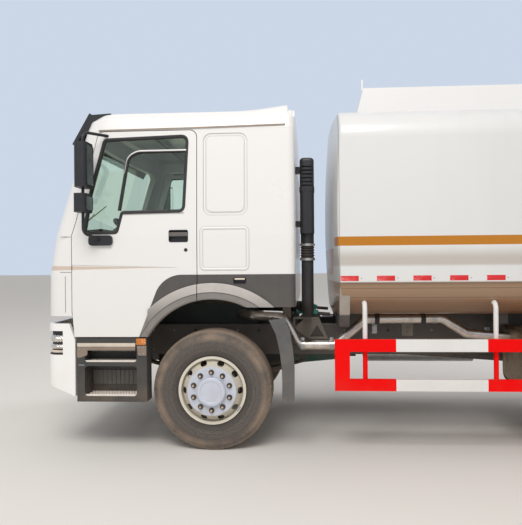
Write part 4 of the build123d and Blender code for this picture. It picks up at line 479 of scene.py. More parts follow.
def cloth(name, colour, stripe=None):
    finish = Finish(name, colour, 0.9, specular=0.2)
    finish.surface({"Sheen Weight": 0.3})
    finish.mottle(7.0, 0.4, dark=0.8)
    weave = finish.node("ShaderNodeTexChecker", {"Vector": finish.place, "Scale": 420.0}).outputs["Fac"]
    if stripe:
        finish.paint(stripe, weave, 0.35)
    finish.bump(weave, 0.0005).done()


for make_finish in (
    cab_paint, tank_paint, trim_plastic, engine_paint, subframe_paint, guard_paint, underrun_paint,
):
    make_finish()
bumper = Finish("bumper_paint", (0.92, 0.91, 0.9), 0.34, coat=0.25).mottle(2.5, 0.3, dark=0.93)
bumper.dust(top=0.9, amount=0.22, on_top=0.12, colour=PALE_DUST).rough(0.3, 0.45, 14.0).done()
coaming = Finish("coaming_paint", (0.82, 0.815, 0.81), 0.36, coat=0.2)
coaming.mottle(1.6, 0.2, dark=0.93).rough(0.32, 0.45, 8.0).done()
rubber = Finish("rubber", (0.025, 0.024, 0.024), 0.65).mottle(20.0, 0.4, dark=0.6)
rubber.dust(top=1.4, amount=0.3, on_top=0.2).grain(400.0, 0.0005).done()
glass = Finish("glass", (0.88, 0.96, 0.83), 0.02, transmission=1.0).surface({"IOR": 1.45})
glass.paint((0.7, 0.74, 0.68), glass.patches(2.0, 0.45, 0.8), 0.15).rough(0.005, 0.03, 6.0).done()
reflector = Finish("lamp_chrome", (0.8, 0.74, 0.68), 0.16, metallic=0.9, coat=0.6)
reflector.mottle(40.0, 0.6, dark=0.55).flutes("DIAGONAL", 28.0, 0.003).done()
cloth("seat_cloth", (0.3, 0.31, 0.27), stripe=(0.45, 0.43, 0.34))
cloth("bunk_cloth", (0.24, 0.26, 0.3))

# Moulded plastics: colour, roughness, height that dust reaches, amount of dust
for name, colour, roughness, dust_top, dust_amount in (
    ("dark_plastic", (0.052, 0.052, 0.05), 0.55, 1.0, 0.25),
    ("mirror_plastic", (0.018, 0.018, 0.02), 0.42, 1.0, 0.0),
    ("guard_plastic", (0.112, 0.112, 0.112), 0.55, 1.4, 0.22),
    ("dash_plastic", (0.075, 0.075, 0.078), 0.6, 1.0, 0.0),
    ("lining", (0.42, 0.4, 0.36), 0.75, 1.0, 0.0),
    ("handle_plastic", (0.14, 0.125, 0.12), 0.45, 1.0, 0.1),
    # The drip rail's dark tan is partly painted shade, for the shade line under the gutter
    ("drip_sealant_and_shade", (0.36, 0.29, 0.24), 0.6, 1.0, 0.1),
    ("step_grey", (0.145, 0.14, 0.13), 0.55, 1.0, 0.2),
):
    finish = Finish(name, colour, roughness)
    finish.mottle(12.0, 0.5).dust(top=dust_top, amount=dust_amount, on_top=0.35)
    finish.rough(roughness - 0.08, roughness + 0.12, 30.0).grain(700.0, 0.0004).done()

# Bare metals: colour, roughness, stain, amount of dust
for name, colour, roughness, stain, dust_amount in (
    ("exhaust_steel", (0.76, 0.69, 0.61), 0.32, 0.25, 0.2),
    ("silencer_steel", (0.42, 0.33, 0.24), 0.5, 0.6, 0.5),
    ("steel", (0.55, 0.54, 0.52), 0.35, 0.0, 0.2),
    ("walkway_plate", (0.55, 0.55, 0.54), 0.42, 0.0, 0.1),
    ("tank_alloy", (0.62, 0.63, 0.64), 0.3, 0.0, 0.35),
    ("lid_alloy", (0.6, 0.61, 0.62), 0.38, 0.0, 0.0),
    ("galvanised", (0.5, 0.51, 0.52), 0.45, 0.0, 0.25),
    ("nut_steel", (0.17, 0.155, 0.14), 0.38, 0.0, 0.15),
    ("mirror_glass", (0.92, 0.93, 0.94), 0.04, 0.0, 0.0),
):
    finish = Finish(name, colour, roughness, metallic=1.0)
    finish.mottle(14.0, 0.5, dark=0.72)
    if stain:
        finish.paint((0.3, 0.17, 0.09), finish.patches(7.0, 0.45, 0.7, detail=8.0), stain)
    finish.dust(top=1.2, amount=dust_amount, on_top=0.3)
    finish.rough(roughness * 0.8, roughness * 1.3, 40.0).grain(220.0, 0.0004).done()

# Painted steel: colour, roughness, rust, amount of dust
for name, colour, roughness, rust, dust_amount in (
    ("chassis_paint", (0.098, 0.09, 0.083), 0.55, 0.2, 0.4),
    ("bracket_grey", (0.26, 0.235, 0.2), 0.6, 0.0, 0.4),
    ("spring_steel", (0.035, 0.033, 0.032), 0.6, 0.45, 0.4),
    ("teal_paint", (0.06, 0.36, 0.31), 0.35, 0.0, 0.2),
    ("tread_plate", (0.86, 0.8, 0.74), 0.45, 0.0, 0.1),
    ("dusty_plate", (0.27, 0.21, 0.165), 0.55, 0.0, 0.4),
    ("sill_cream", (0.7, 0.62, 0.53), 0.5, 0.0, 0.25),
    ("rusty_stud", (0.62, 0.47, 0.34), 0.5, 0.25, 0.4),
):
    weather(Finish(name, colour, roughness), roughness, rust, dust_amount)

# Ribbed lenses: tint, how much light they let through
for name, tint, transmission in (
    ("lamp_lens", (0.92, 0.94, 0.96), 0.95),
    ("amber_lens", (0.9, 0.26, 0.015), 0.25),
    ("red_lens", (0.62, 0.012, 0.008), 0.25),
    ("mark_red", (0.75, 0.008, 0.008), 0.0),
):
    finish = Finish(name, tint, 0.08, coat=0.5, transmission=transmission)
    finish.mottle(30.0, 0.3, dark=0.8).flutes("Z", 30.0, 0.002).done()

# Which finish each CAD node gets
NODE_FINISHES = {
    "cab_paint": "cab_shell door_left door_right front_lid",
    "bumper_paint": "front_bumper",
    "tank_paint": "tank_shell",
    "coaming_paint": "tank_coaming manhole_collar",
    "trim_plastic": "arch_trims door_trim_left door_trim_right",
    "mirror_plastic": "sun_visor mirror_left mirror_right snorkel",
    "guard_plastic": "mudguards",
    "dash_plastic": "dashboard",
    "rubber": "air_intake",
    "glass": "windscreen door_glass_left door_glass_right",
    "dark_plastic": "cab_steps battery_box headlamps",
    "red_lens": "rear_lamps",
    "chassis_paint": "frame_rails front_axle drive_axles propshafts air_tanks "
                     "knuckle_left knuckle_right track_rod",
    "subframe_paint": "subframe",
    "bracket_grey": "cab_support",
    "spring_steel": "leaf_springs",
    "engine_green": "engine_block gearbox",
    "exhaust_steel": "exhaust_pipe",
    "silencer_steel": "silencer",
    "tank_alloy": "fuel_tank",
    "lid_alloy": "manhole_lid",
    "galvanised": "ladder discharge_pipe",
    "guard_paint": "side_guards",
    "underrun_paint": "rear_bumper",
    "seat_cloth": "seats",
    "bunk_cloth": "sleeper_bunk",
}
for station in ("front", "middle", "rear"):
    for kind, make_finish in (("tyre", tyre_rubber), ("wheel", wheel_paint)):
        make_finish(f"{station}_{kind}", joint_places[f"{station}_left_wheel_spin"].x)
        NODE_FINISHES[f"{station}_{kind}"] = f"{station}_{kind}_left {station}_{kind}_right"

for finish_name, members in NODE_FINISHES.items():
    for member in members.split():
        obj = nodes[member]
        if not obj.material_slots:
            obj.data.materials.append(None)
        for material_slot in obj.material_slots:
            material_slot.material = FINISHES[finish_name]


# Mesh building
def add_piece(bm, name, body, finish, smooth, replaced):
    """Puts a mesh in the scene as a piece that rides on a body. Edges over the smooth angle stay sharp."""
    bmesh.ops.recalc_face_normals(bm, faces=bm.faces[:])
    mesh = bpy.data.meshes.new(name)
    bm.to_mesh(mesh)
    bm.free()
    mesh.materials.append(FINISHES[finish])
    for polygon in mesh.polygons:
        polygon.use_smooth = True
    mesh.set_sharp_from_angle(angle=radians(smooth))
    made = add_object(name, mesh)
    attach(made, body)
    if replaced:
        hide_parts(replaced)
    return made


class Build:
    """Collects shapes in one mesh. Places are (distance behind the front axle, Y, Z).

    With a side, Y is the distance towards that side, and {} in a name or a body is the side's name.
    """

    def __init__(self, side=""):
        self.bm = bmesh.new()
        self.side = side
        self.sign = SIDES.get(side, 1)

    def at(self, place):
        return Vector((behind(place[0]), self.sign * place[1], place[2]))

    def box(self, low, high, bevel=0.002):
        """A box with its edges rounded off."""
        a, b = self.at(low), self.at(high)
        made = bmesh.ops.create_cube(self.bm, size=1.0)["verts"]
        for vert in made:
            vert.co = Vector([(a[i] + b[i]) / 2 + vert.co[i] * abs(b[i] - a[i]) for i in range(3)])
        if bevel:
            edges = list({edge for vert in made for edge in vert.link_edges})
            bmesh.ops.bevel(self.bm, geom=edges, offset=bevel, segments=2, affect="EDGES", profile=0.6)
        return self

    def rings(self, sections):
        """A ring of vertices for each list of places."""
        return [[self.bm.verts.new(self.at(point)) for point in section] for section in sections]

    def skin(self, rings):
        """Faces between each closed ring and the next."""
        for ring, following in zip(rings, rings[1:]):
            for k in range(len(ring)):
                beside = (k + 1) % len(ring)
                self.bm.faces.new((ring[k], ring[beside], following[beside], following[k]))
        return self

    def join(self, rings):
        """Skins the rings and closes both ends."""
        self.skin(rings)
        self.bm.faces.new(rings[0][::-1])
        self.bm.faces.new(rings[-1])
        return self

    def loft(self, sections):
        """Closed sections, each a list of places, joined in turn."""
        return self.join(self.rings(sections))

    def loop_strip(self, sections):
        """Closed sections joined in turn, the last to the first: a frame round an opening."""
        rings = self.rings(sections)
        return self.skin(rings + rings[:1])

    def prism(self, outline, y_from, y_to):
        """A side outline given width from one Y to another."""
        return self.loft([[(x, y, z) for x, z in outline] for y in (y_from, y_to)])

    def side_frame(self, outline, rows):
        """A frame on the cab's side, from rows of (distance outside the outline, height off the face)."""
        return self.loop_strip([on_side(offset_outline(outline, out), proud) for out, proud in rows])

    def pocket(self, outline, depth):
        """A rim round a pocket's mouth in the cab's side, its walls and its floor."""
        inner = offset_outline(outline, -0.0008)
        rows = (
            (offset_outline(outline, 0.005), 0.0005), (offset_outline(outline, 0.004), 0.0035),
            (inner, 0.0035), (inner, 0.001 - depth),
        )
        rings = self.rings([[(x, cab_half_width + proud, z) for x, z in row] for row, proud in rows])
        self.skin(rings)
        self.bm.faces.new(rings[-1])
        return self

    def rod(self, start, end, radius, sides=16, end_radius=None):
        """A round bar between two points."""
        return self.tube([start, end], radius, sides, end_radius=end_radius)

    def tube(self, points, radius, sides=12, bend=0.0, end_radius=None):
        """A round tube along points whose corners are rounded by the bend."""
        path = rounded_path([self.at(point) for point in points], bend)
        end_radius = radius if end_radius is None else end_radius
        rings = []
        across = None
        for i, point in enumerate(path):
            ahead = path[min(i + 1, len(path) - 1)] - path[max(i - 1, 0)]
            ahead.normalize()
            across = across or ahead.orthogonal()
            across = (across - ahead * across.dot(ahead)).normalized()
            upward = ahead.cross(across)
            size = radius + (end_radius - radius) * i / (len(path) - 1)
            rings.append([
                self.bm.verts.new(point + size * (cos(turn) * across + sin(turn) * upward))
                for turn in circle(sides)
            ])
        return self.join(rings)

    def lathe(self, profile, centre, axis="Y", steps=48, direction=None):
        """A solid turned about an axis through the centre, from rows of (radius, distance along the axis).

        Along Y the distances point outward on the builder's side, unless a direction is given.
        """
        middle = self.at(centre)
        direction = direction or (self.sign if axis == "Y" else 1)
        rings = []
        for radius, along in profile:
            rings.append([
                self.bm.verts.new(middle + self.turned(radius, along * direction, turn, axis))
                for turn in (circle(steps) if radius else [0])
            ])
        for low, high in zip(rings, rings[1:]):
            for k in range(steps):
                corners = (low, k), (low, k + 1), (high, k + 1), (high, k)
                unique = list(dict.fromkeys(ring[at % len(ring)] for ring, at in corners))
                if len(unique) > 2:
                    self.bm.faces.new(unique)
        for ring, order in ((rings[0], -1), (rings[-1], 1)):
            if len(ring) > 2:
                self.bm.faces.new(ring[::order])
        return self

    @staticmethod
    def turned(radius, along, turn, axis):
        a, b = radius * cos(turn), radius * sin(turn)
        return Vector({"X": (along, a, b), "Y": (a, along, b), "Z": (a, b, along)}[axis])

    def button(self, place, radius, top_radius, edge, height, steps=6, axis="Y", direction=None):
        """A bolt's head or a cap, with the height of its edge and its whole height."""
        profile = [(0, 0), (radius, 0), (top_radius, edge), (0, height)]
        return self.lathe(profile, place, axis, steps, direction)

    def nut(self, place, radius, top_radius, base, shoulder, height, steps=6, axis="Y"):
        """An upright ring or nut from its base to its shoulder, with a sloping edge above."""
        profile = [(0, base), (radius, base), (radius, shoulder), (top_radius, height), (0, height)]
        return self.lathe(profile, place, axis, steps)

    def make(self, name, body, finish, slot="", smooth=35, replaced=""):
        """Makes the piece. The slot argument is not used."""
        return add_piece(self.bm, name.format(self.side), body.format(self.side), finish,
                         smooth, replaced)


def rounded_path(points, bend, steps=6):
    """The points with each inner corner replaced by a curve that starts a bend's length before it."""
    path = [points[0]]
    for before, corner, after in zip(points, points[1:], points[2:]):
        reach = min(bend, (corner - before).length * 0.48, (after - corner).length * 0.48)
        path += curve(before, corner, after, reach, steps) if reach > 1e-5 else [corner]
    path.append(points[-1])
    return path


def rounded_outline(points, radius, steps=6):
    """A closed side outline with its corners rounded. The radius is one value or one for each corner."""
    radii = radius if isinstance(radius, list) else [radius] * len(points)
    corners = [Vector(point) for point in points]
    outline = []
    for i, corner in enumerate(corners):
        before, after = corners[i - 1], corners[(i + 1) % len(corners)]
        back, on = before - corner, after - corner
        reach = min(radii[i] / tan(back.angle(on) / 2), back.length * 0.45, on.length * 0.45)
        outline += [tuple(point) for point in curve(before, corner, after, reach, steps)]
    return outline


def curve(before, corner, after, reach, steps):
    """Points of a curve that leaves one run and joins the next at a distance from their corner."""
    start = corner + (before - corner).normalized() * reach
    end = corner + (after - corner).normalized() * reach
    shares = [i / steps for i in range(steps + 1)]
    return [(1 - t) ** 2 * start + 2 * t * (1 - t) * corner + t * t * end for t in shares]


def offset_outline(outline, amount):
    """A closed outline moved outward by the amount, or inward when it is negative."""
    area = sum(a[0] * b[1] - b[0] * a[1] for a, b in zip(outline, outline[1:] + outline[:1]))
    turn = 1 if area > 0 else -1
    moved = []
    for i, point in enumerate(outline):
        ahead = Vector(outline[(i + 1) % len(outline)]) - Vector(outline[i - 1])
        ahead.normalize()
        moved.append((point[0] + turn * ahead.y * amount, point[1] - turn * ahead.x * amount))
    return moved


def on_side(outline, proud):
    """A side outline laid on the cab's side face, standing off it by an amount."""
    return [(x, cab_side(z) + proud, z) for x, z in outline]


def crosswise(outline, x, middle=0.0):
    """An outline of Y and Z at a station, about a middle."""
    return [(x, middle + y, z) for y, z in outline]


def rectangle(corner, opposite, radius, steps=6):
    """A rounded rectangle between two opposite corners."""
    (x1, z1), (x2, z2) = corner, opposite
    return rounded_outline([(x1, z1), (x2, z1), (x2, z2), (x1, z2)], radius, steps)


# Wheels: turned tyres with notches cut in the shoulders, nuts and balance weights
tread_half = 0.118
groove_radius = tyre_radius - 0.013
bead_radius = 0.2925
# Half section of a tyre from the tread's middle to the bead: distance from the middle, radius
HALF_SECTION = [
    (0.0, groove_radius), (0.006, groove_radius), (0.008, tyre_radius), (0.042, tyre_radius),
    (0.044, groove_radius), (0.052, groove_radius), (0.054, tyre_radius), (0.084, tyre_radius - 0.001),
    (0.086, groove_radius), (0.092, groove_radius),
    (0.094, tyre_radius - 0.002), (0.106, tyre_radius - 0.004),
    (0.1185, 0.5215), (0.1245, 0.508), (0.13, 0.492), (0.1345, 0.49), (0.1375, 0.478), (0.1445, 0.455),
    (0.148, 0.44), (0.1495, 0.425), (0.1482, 0.405), (0.145, 0.388), (0.1465, 0.386), (0.1452, 0.38),
    (0.143, 0.378), (0.1385, 0.352), (0.14, 0.35), (0.1385, 0.344), (0.136, 0.342), (0.1315, 0.322),
    (0.1295, 0.31), (0.1145, 0.3055), (0.111, bead_radius), (0.0, bead_radius),
]

# Stations: track, middles of the tyres from there, notches (number, depth, inner edge), plane of the nuts
STATIONS = {
    "front": (2.022, (0,), (60, 0.01, 0.1), 0.1652),
    "middle": (1.83, (-0.175, 0.175), (48, 0.014, 0.06), 0.0243),
    "rear": (1.83, (-0.175, 0.175), (48, 0.014, 0.06), 0.0243),
}
nut_circle = 0.1675
weight_radius = 0.288
rim_edge = 0.13


def tyre(build, middle, axle_x, notches, notch_depth, notch_edge):
    """One tyre about the axle, with its middle at a Y and notches cut in its shoulders."""
    section = [(-y, r) for y, r in HALF_SECTION[:0:-1]] + HALF_SECTION
    rings = []
    for k, turn in enumerate(circle(notches * 3)):
        ring = []
        for y, r in section:
            if k % 3 == 0 and abs(y) > notch_edge and r > 0.5:
                r = min(r, tyre_radius - notch_depth) if abs(y) < tread_half else r - notch_depth * 0.45
                y *= 0.985
            place = (axle_x + r * cos(turn), middle + y, wheel_z + r * sin(turn))
            ring.append(build.bm.verts.new(place))
        rings.append(ring)
    build.skin(rings + rings[:1])


for station, (track, middles, notches, nut_plane) in STATIONS.items():
    for side, sign in SIDES.items():
        axle_x = joint_places[f"{station}_{side}_wheel_spin"].x
        body = f"{station}_{side}_wheel"
        tread = Build(side)
        for middle in middles:
            tyre(tread, sign * (track / 2 + middle), axle_x, *notches)
        node = f"{station}_tyre_{side}"
        tread.make(f"{node}_tread", body, f"{station}_tyre", "tyre", 28, node)

        # Wheel nuts with their rings and studs, and a balance weight on the rim
        rings, nuts, studs, weight = [Build(side) for _ in range(4)]
        hub_x = axle_x - front_axle_x
        for turn in circle(10, 0.5):
            x, z = hub_x + nut_circle * cos(turn), wheel_z + nut_circle * sin(turn)
            place = (x, track / 2 + nut_plane, z)
            rings.nut(place, 0.025, 0.019, 0, 0.003, 0.005, 20)
            nuts.nut(place, 0.0165, 0.014, 0.004, 0.021, 0.0235)
            studs.nut(place, 0.0095, 0.007, 0.02, 0.0325, 0.035, 12)
        rings.make(f"{station}_nut_rings_{side}", body, "rubber")
        nuts.make(f"{station}_nuts_{side}", body, "nut_steel", "wheel_paint", 20)
        studs.make(f"{station}_studs_{side}", body, "rusty_stud", "wheel_paint")
        for k in range(4):
            turn = radians({"left": -38, "right": 215}[side] + 2.4 * k)
            x, z = hub_x + weight_radius * cos(turn), wheel_z + weight_radius * sin(turn)
            weight.button((x, track / 2 + middles[-1] + rim_edge, z), 0.0075, 0.0065, 0.004, 0.005, 10)
        weight.make(f"{station}_balance_weight_{side}", body, "galvanised", "wheel_paint")

# Door windows: rubber frame, divider bar with its light edge, and the strip below the rear pane
DOOR = "door_{}_body"
WINDOW = rounded_outline(
    [(-1.111, 1.943), (-1.058, 2.284), (-0.93, 2.763), (-0.193, 2.785), (-0.228, 2.128), (-0.776, 2.12),
     (-0.822, 1.943)],
    [0.03, 0.5, 0.045, 0.055, 0.05, 0.025, 0.03],
)
WINDOW_FRAME = (
    (0.016, 0.0005), (0.013, 0.006), (0.0, 0.0065), (-0.01, 0.002), (-0.014, -0.011), (0.0, -0.011),
)
DIVIDER = [(-0.196, 2.655), (-0.64, 2.654), (-0.722, 2.6), (-0.757, 2.38), (-0.798, 2.135)]
STRIP = ((-0.225, 2.112), (-0.77, 2.104), (-0.77, 2.098), (-0.225, 2.106))
strip_y = cab_side(2.115)
for side in SIDES:
    Build(side).side_frame(WINDOW, WINDOW_FRAME).make("window_rubber_{}", DOOR, "rubber")
    Build(side).tube(on_side(DIVIDER, -0.006), 0.0155, 10, 0.09).make("window_bar_{}", DOOR, "rubber")
    light_edge = [(x - 0.004, y, z + 0.006) for x, y, z in on_side(DIVIDER, 0.0045)]
    Build(side).tube(light_edge, 0.0085, 10, 0.09, 0.0015).make(
        "window_bar_trim_{}", DOOR, "coaming_paint", "cab_paint")
    strip = [[(x, strip_y + proud, z) for x, z in STRIP] for proud in (0.0005, 0.0045, 0)]
    Build(side).loop_strip(strip).make("window_wiper_{}", DOOR, "rubber")

# Door handles: a dark liner in each pocket with a raised rim, the pull bar across it, and the lock
HANDLE = rectangle((-0.352, 1.955), (-0.19, 1.857), 0.014)
GRIP = rectangle((0.214, 1.538), (0.318, 1.49), 0.01)
LOCK = [(0, 0), (0.0155, 0), (0.0155, 0.003), (0.012, 0.0055), (0.0115, 0.0035), (0, 0.0035)]
for side in SIDES:
    Build(side).pocket(HANDLE, 0.026).make("handle_cup_{}", DOOR, "mirror_plastic", "dark_plastic")
    Build(side).box((-0.3505, 1.2264, 1.9032), (-0.1915, 1.2412, 1.9388), 0.003).make(
        "door_handle_{}", DOOR, "handle_plastic", "trim_plastic")
    Build(side).lathe(LOCK, (-0.206, 1.24, 1.784), steps=28).make(
        "door_lock_{}", DOOR, "mirror_plastic", "dark_plastic")
    Build(side).pocket(GRIP, 0.022).make("trim_grip_{}", "cab", "mirror_plastic", "dark_plastic")
    Build(side).box((0.221, 1.234, 1.52), (0.311, 1.244, 1.5355), 0.003).make(
        "trim_grip_lip_{}", "cab", "sill_cream", "trim_plastic")

# The lower pressing beside the doors, as a raised border round a flat field
front, rear, bottom, top, corner_radius = LOWER_PRESSING
PRESSING = rectangle((front, top), (rear, bottom), corner_radius)
PRESSING_BORDER = (
    (0.0, -0.001), (-0.005, 0.004), (-0.009, 0.0048), (-0.015, 0.0048), (-0.019, 0.004), (-0.024, -0.001),
)
for side in SIDES:
    Build(side).side_frame(PRESSING, PRESSING_BORDER).make("side_pressing_{}", "cab", "cab_paint")

# The roof's tail, which rises towards the rear wall: distance behind the axle, height above the roof
ROOF_TAIL = (
    (0.26, -0.003), (0.36, 0.004), (0.46, 0.013), (0.56, 0.026),
    (0.64, 0.037), (0.676, 0.04), (0.6885, 0.036),
)
# Its half section: Y, height from the roof, share of the rise
ROOF_HALF = [
    (1.192, -0.105, 0.0), (1.183, -0.079, 0.55), (1.163, -0.05, 0.85),
    (1.138, -0.024, 0.97), (1.085, -0.006, 1.0), (0.6, 0.001, 1.0),
]
roof_z = 3.035
across_roof = ROOF_HALF + [(-y, up, share) for y, up, share in reversed(ROOF_HALF)]
across_roof += [(-1.1, -0.12, 0), (1.1, -0.12, 0)]
Build().loft([
    [(x, y, roof_z + up + share * rise) for y, up, share in across_roof] for x, rise in ROOF_TAIL
]).make("roof_tail", "cab", "cab_paint")

# Sealant along the drip rail, in a dark tan that is also painted shade under the gutter, and the thin dark
# joints of the cab's corner panels
DRIP_LINE = ((-0.983, 2.845), (-0.13, 2.853), (0.67, 2.867))
DRIP_SECTION = ((-0.001, -0.0015), (0.009, -0.0015), (0.009, 0.009), (-0.003, 0.009))
CORNER_JOINTS = (
    (-1.2875, 1.24, -1.2835, 1.56), (-1.33, 1.5935, -1.231, 1.5975), (-1.33, 1.906, -1.231, 1.91),
)
for side in SIDES:
    Build(side).loft([
        [(x, cab_side(z) + out, z + up) for out, up in DRIP_SECTION] for x, z in DRIP_LINE
    ]).make("drip_rail_{}", "cab", "drip_sealant_and_shade", "cab_paint")
    joints = Build(side)
    for x1, z1, x2, z2 in CORNER_JOINTS:
        joints.box((x1, 1.239, z1), (x2, 1.2404, z2), 0)
    joints.make("corner_joints_{}", "cab", "rubber", "cab_paint")

# Mirrors: glass in the rear faces, and a thin rim round each. Heads: middle's distance, bottom, top
MIRROR_HEADS = ((-1.038, 2.315, 2.694), (-1.044, 2.105, 2.262))
mirror_y = 1.425
for side, sign in SIDES.items():
    glasses, rims = Build(), Build()
    for x, low, high in MIRROR_HEADS:
        rear = x + 0.055
        pane = rectangle((-0.066, low + 0.022), (0.066, high - 0.022), 0.02)
        border = offset_outline(pane, 0.006)
        for proud in (0.0005, 0.0025):
            glasses.bm.faces.new(glasses.rings([crosswise(pane, rear + proud, sign * mirror_y)])[0])
        rims.loop_strip([
            crosswise(outline, rear + proud, sign * mirror_y)
            for outline, proud in ((border, -0.001), (border, 0.004), (pane, 0.004), (pane, -0.001))
        ])
    glasses.make(f"mirror_glass_{side}", DOOR.format(side), "mirror_glass", "glass")
    rims.make(f"mirror_rim_{side}", DOOR.format(side), "mirror_plastic", "dark_plastic")

# Steps: punched treads, ribbed backs, the plates under the sill and the amber lamp
step_face_y = 1.228
step_skin_y = 1.2275
tread_front = -1.118
tread_rear = -0.656
stud_pitch = 0.026
back_rib_pitch = 0.0395
# Treads: height, inner edge, top of the back
TREADS = ((0.5, 1.04, 0.7), (0.8, 1.08, 0.895))
FRONT_PLATE = [(-1.188, 0.934), (-1.092, 0.934), (-1.096, 0.862), (-1.15, 0.842), (-1.188, 0.835)]
REAR_PLATE = [(-0.652, 0.946), (-0.566, 0.946), (-0.566, 0.858), (-0.64, 0.858)]
PLATE_BOLTS = (
    (-1.168, 0.915), (-1.12, 0.915), (-0.628, 0.93), (-0.59, 0.93), (-0.628, 0.874), (-0.59, 0.874),
)
for side in SIDES:
    treads, backs, bolts = [Build(side) for _ in range(3)]
    for low, inner, back_top in TREADS:
        treads.box((tread_front, inner, low + 0.0005), (tread_rear, step_skin_y, low + 0.006))
        for row in range(5):
            for column in range(17):
                x = -1.102 + stud_pitch * (column + row % 2 / 2)
                y = inner + 0.022 + row * (step_face_y - inner - 0.044) / 4
                treads.lathe([(0.0085, 0.0055), (0.007, 0.0095), (0.0045, 0.0095)], (x, y, low), "Z", 8)
        treads.box(
            (tread_front, step_face_y - 0.012, low + 0.005),
            (tread_rear, step_face_y - 0.003, low + 0.016))
        backs.box(
            (tread_front + 0.003, inner - 0.0015, low + 0.07),
            (tread_rear - 0.003, inner + 0.006, back_top))
        for column in range(12):
            x = -1.105 + back_rib_pitch * column
            backs.box((x, inner, low + 0.072), (x + 0.008, inner + 0.014, back_top - 0.002))
    treads.make("step_treads_{}", "chassis", "tread_plate", "galvanised")
    backs.make("step_backs_{}", "chassis", "step_grey", "dark_plastic")
    Build(side).box((-1.186, step_skin_y, 0.936), (-0.664, 1.233, 0.9685)).make(
        "step_sill_{}", "chassis", "sill_cream", "dark_plastic")
    plates = Build(side).box((-1.15, step_skin_y, 0.903), (-0.664, 1.2315, 0.934))
    for plate, radius in ((FRONT_PLATE, 0.014), (REAR_PLATE, 0.01)):
        plates.prism(rounded_outline(plate, radius), 1.228, 1.2325)
    plates.make("step_plates_{}", "chassis", "dusty_plate", "dark_plastic")
    for x, z in PLATE_BOLTS:
        bolts.button((x, 1.2325, z), 0.008, 0.007, 0.005, 0.006)
    bolts.box((-1.178, 1.226, 0.7705), (-1.124, 1.23, 0.7775), 0.001)
    bolts.make("step_bolts_{}", "chassis", "galvanised")
    Build(side).box((-0.655, step_skin_y, 0.952), (-0.568, 1.2395, 1.01), 0.006).make(
        "side_lamp_{}", "chassis", "amber_lens", "lamp")

# Red marks along the white band, and small round fixings beside them
band_y = 1.244
mark_start = 1.139
mark_pitch = 0.3078
mark_length = 0.154
mark_low_z = 1.5035
mark_high_z = 1.548
for side in SIDES:
    marks, studs = Build(side), Build(side)
    for k in range(24):
        x = mark_start + mark_pitch * k
        marks.box((x, band_y - 0.0005, mark_low_z), (x + mark_length, band_y + 0.0012, mark_high_z), 0.0005)
        studs.button((x + mark_length + 0.022, band_y, 1.527), 0.0055, 0.0045, 0.003, 0.0035, 10)
    marks.make("band_marks_{}", "chassis", "mark_red", "tail_lamp")
    studs.make("band_studs_{}", "chassis", "galvanised")

# Headlamps: stacked reflectors round the bumper's corners, and two round lamps in front
lamp_corner = (-1.358, 1.128, 0.112)
lamp_rear_x = -1.3135
lamp_front_y = 0.705
side_lamp_y = 1.07


def lamp_path(inset, y_end):
    """Plan of the lamp's face, moved inward by the inset: along the side, round the corner, to the front."""
    x, y, corner_radius = lamp_corner
    radius = corner_radius - inset
    turns = [radians(10 * k) for k in range(10)]
    points = [(lamp_rear_x, y + radius)]
    points += [(x - radius * sin(turn), y + radius * cos(turn)) for turn in turns]
    steps = round((y - y_end) / 0.04)
    for k in range(1, steps + 1):
        at = y - (y - y_end) * k / steps
        points.append((x - radius - 0.036 * ((y / 1.24) ** 2 - (at / 1.24) ** 2), at))
    return points


def lamp_band(build, rows, y_end):
    """A band round the lamp's face, from rows of (height, inset), on a back set 35 mm deep."""
    rows = rows + [(z, 0.035) for z in (rows[-1][0], rows[0][0])]
    faces = [[(x, y, z) for x, y in lamp_path(inset, y_end)] for z, inset in rows]
    return build.loft(zip(*faces))


def bulge(low, high, inset, proud):
    """Rows of a half-round band between two heights."""
    turns = [radians(turn) for turn in (0, 25, 50, 75, 90, 105, 130, 155, 180)]
    return [(low + (high - low) * (1 - cos(turn)) / 2, inset - proud * sin(turn)) for turn in turns]


REFLECTOR_RING = [(0.064, 0.01), (0.07, 0.0), (0.076, 0.0), (0.082, 0.012), (0.082, 0.02), (0.064, 0.02)]
BOWL = [(0.0, 0.016), (0.03, 0.014), (0.05, 0.01), (0.066, 0.003), (0.066, 0.02), (0.0, 0.02)]
ROUND_LAMPS = ((-1.4755, 0.96, 0.972), (-1.4795, 0.8, 0.972))
for side in SIDES:
    housing, reflectors, bowls, marker = [Build(side) for _ in range(4)]
    lamp_band(housing, [(0.867, 0.024), (1.075, 0.024)], lamp_front_y)
    lamp_band(housing, [(0.867, 0.003), (0.876, 0.003)], lamp_front_y)
    for low, high in ((0.974, 1.038), (0.914, 0.958)):
        lamp_band(reflectors, bulge(low, high, 0.022, 0.016), side_lamp_y)
    for place in ROUND_LAMPS:
        reflectors.lathe(REFLECTOR_RING, place, "X", 40)
        bowls.lathe(BOWL, place, "X", 40)
    lamp_band(marker, bulge(0.878, 0.904, 0.02, 0.01), side_lamp_y)
    housing.make("headlamp_housing_{}", "chassis", "mirror_plastic", "lamp",
                 replaced="headlamps" if side == "left" else "")
    reflectors.make("headlamp_reflectors_{}", "chassis", "lamp_chrome", "lamp")
    bowls.make("headlamp_lenses_{}", "chassis", "lamp_lens", "lamp")
    marker.make("headlamp_marker_{}", "chassis", "sill_cream", "lamp")


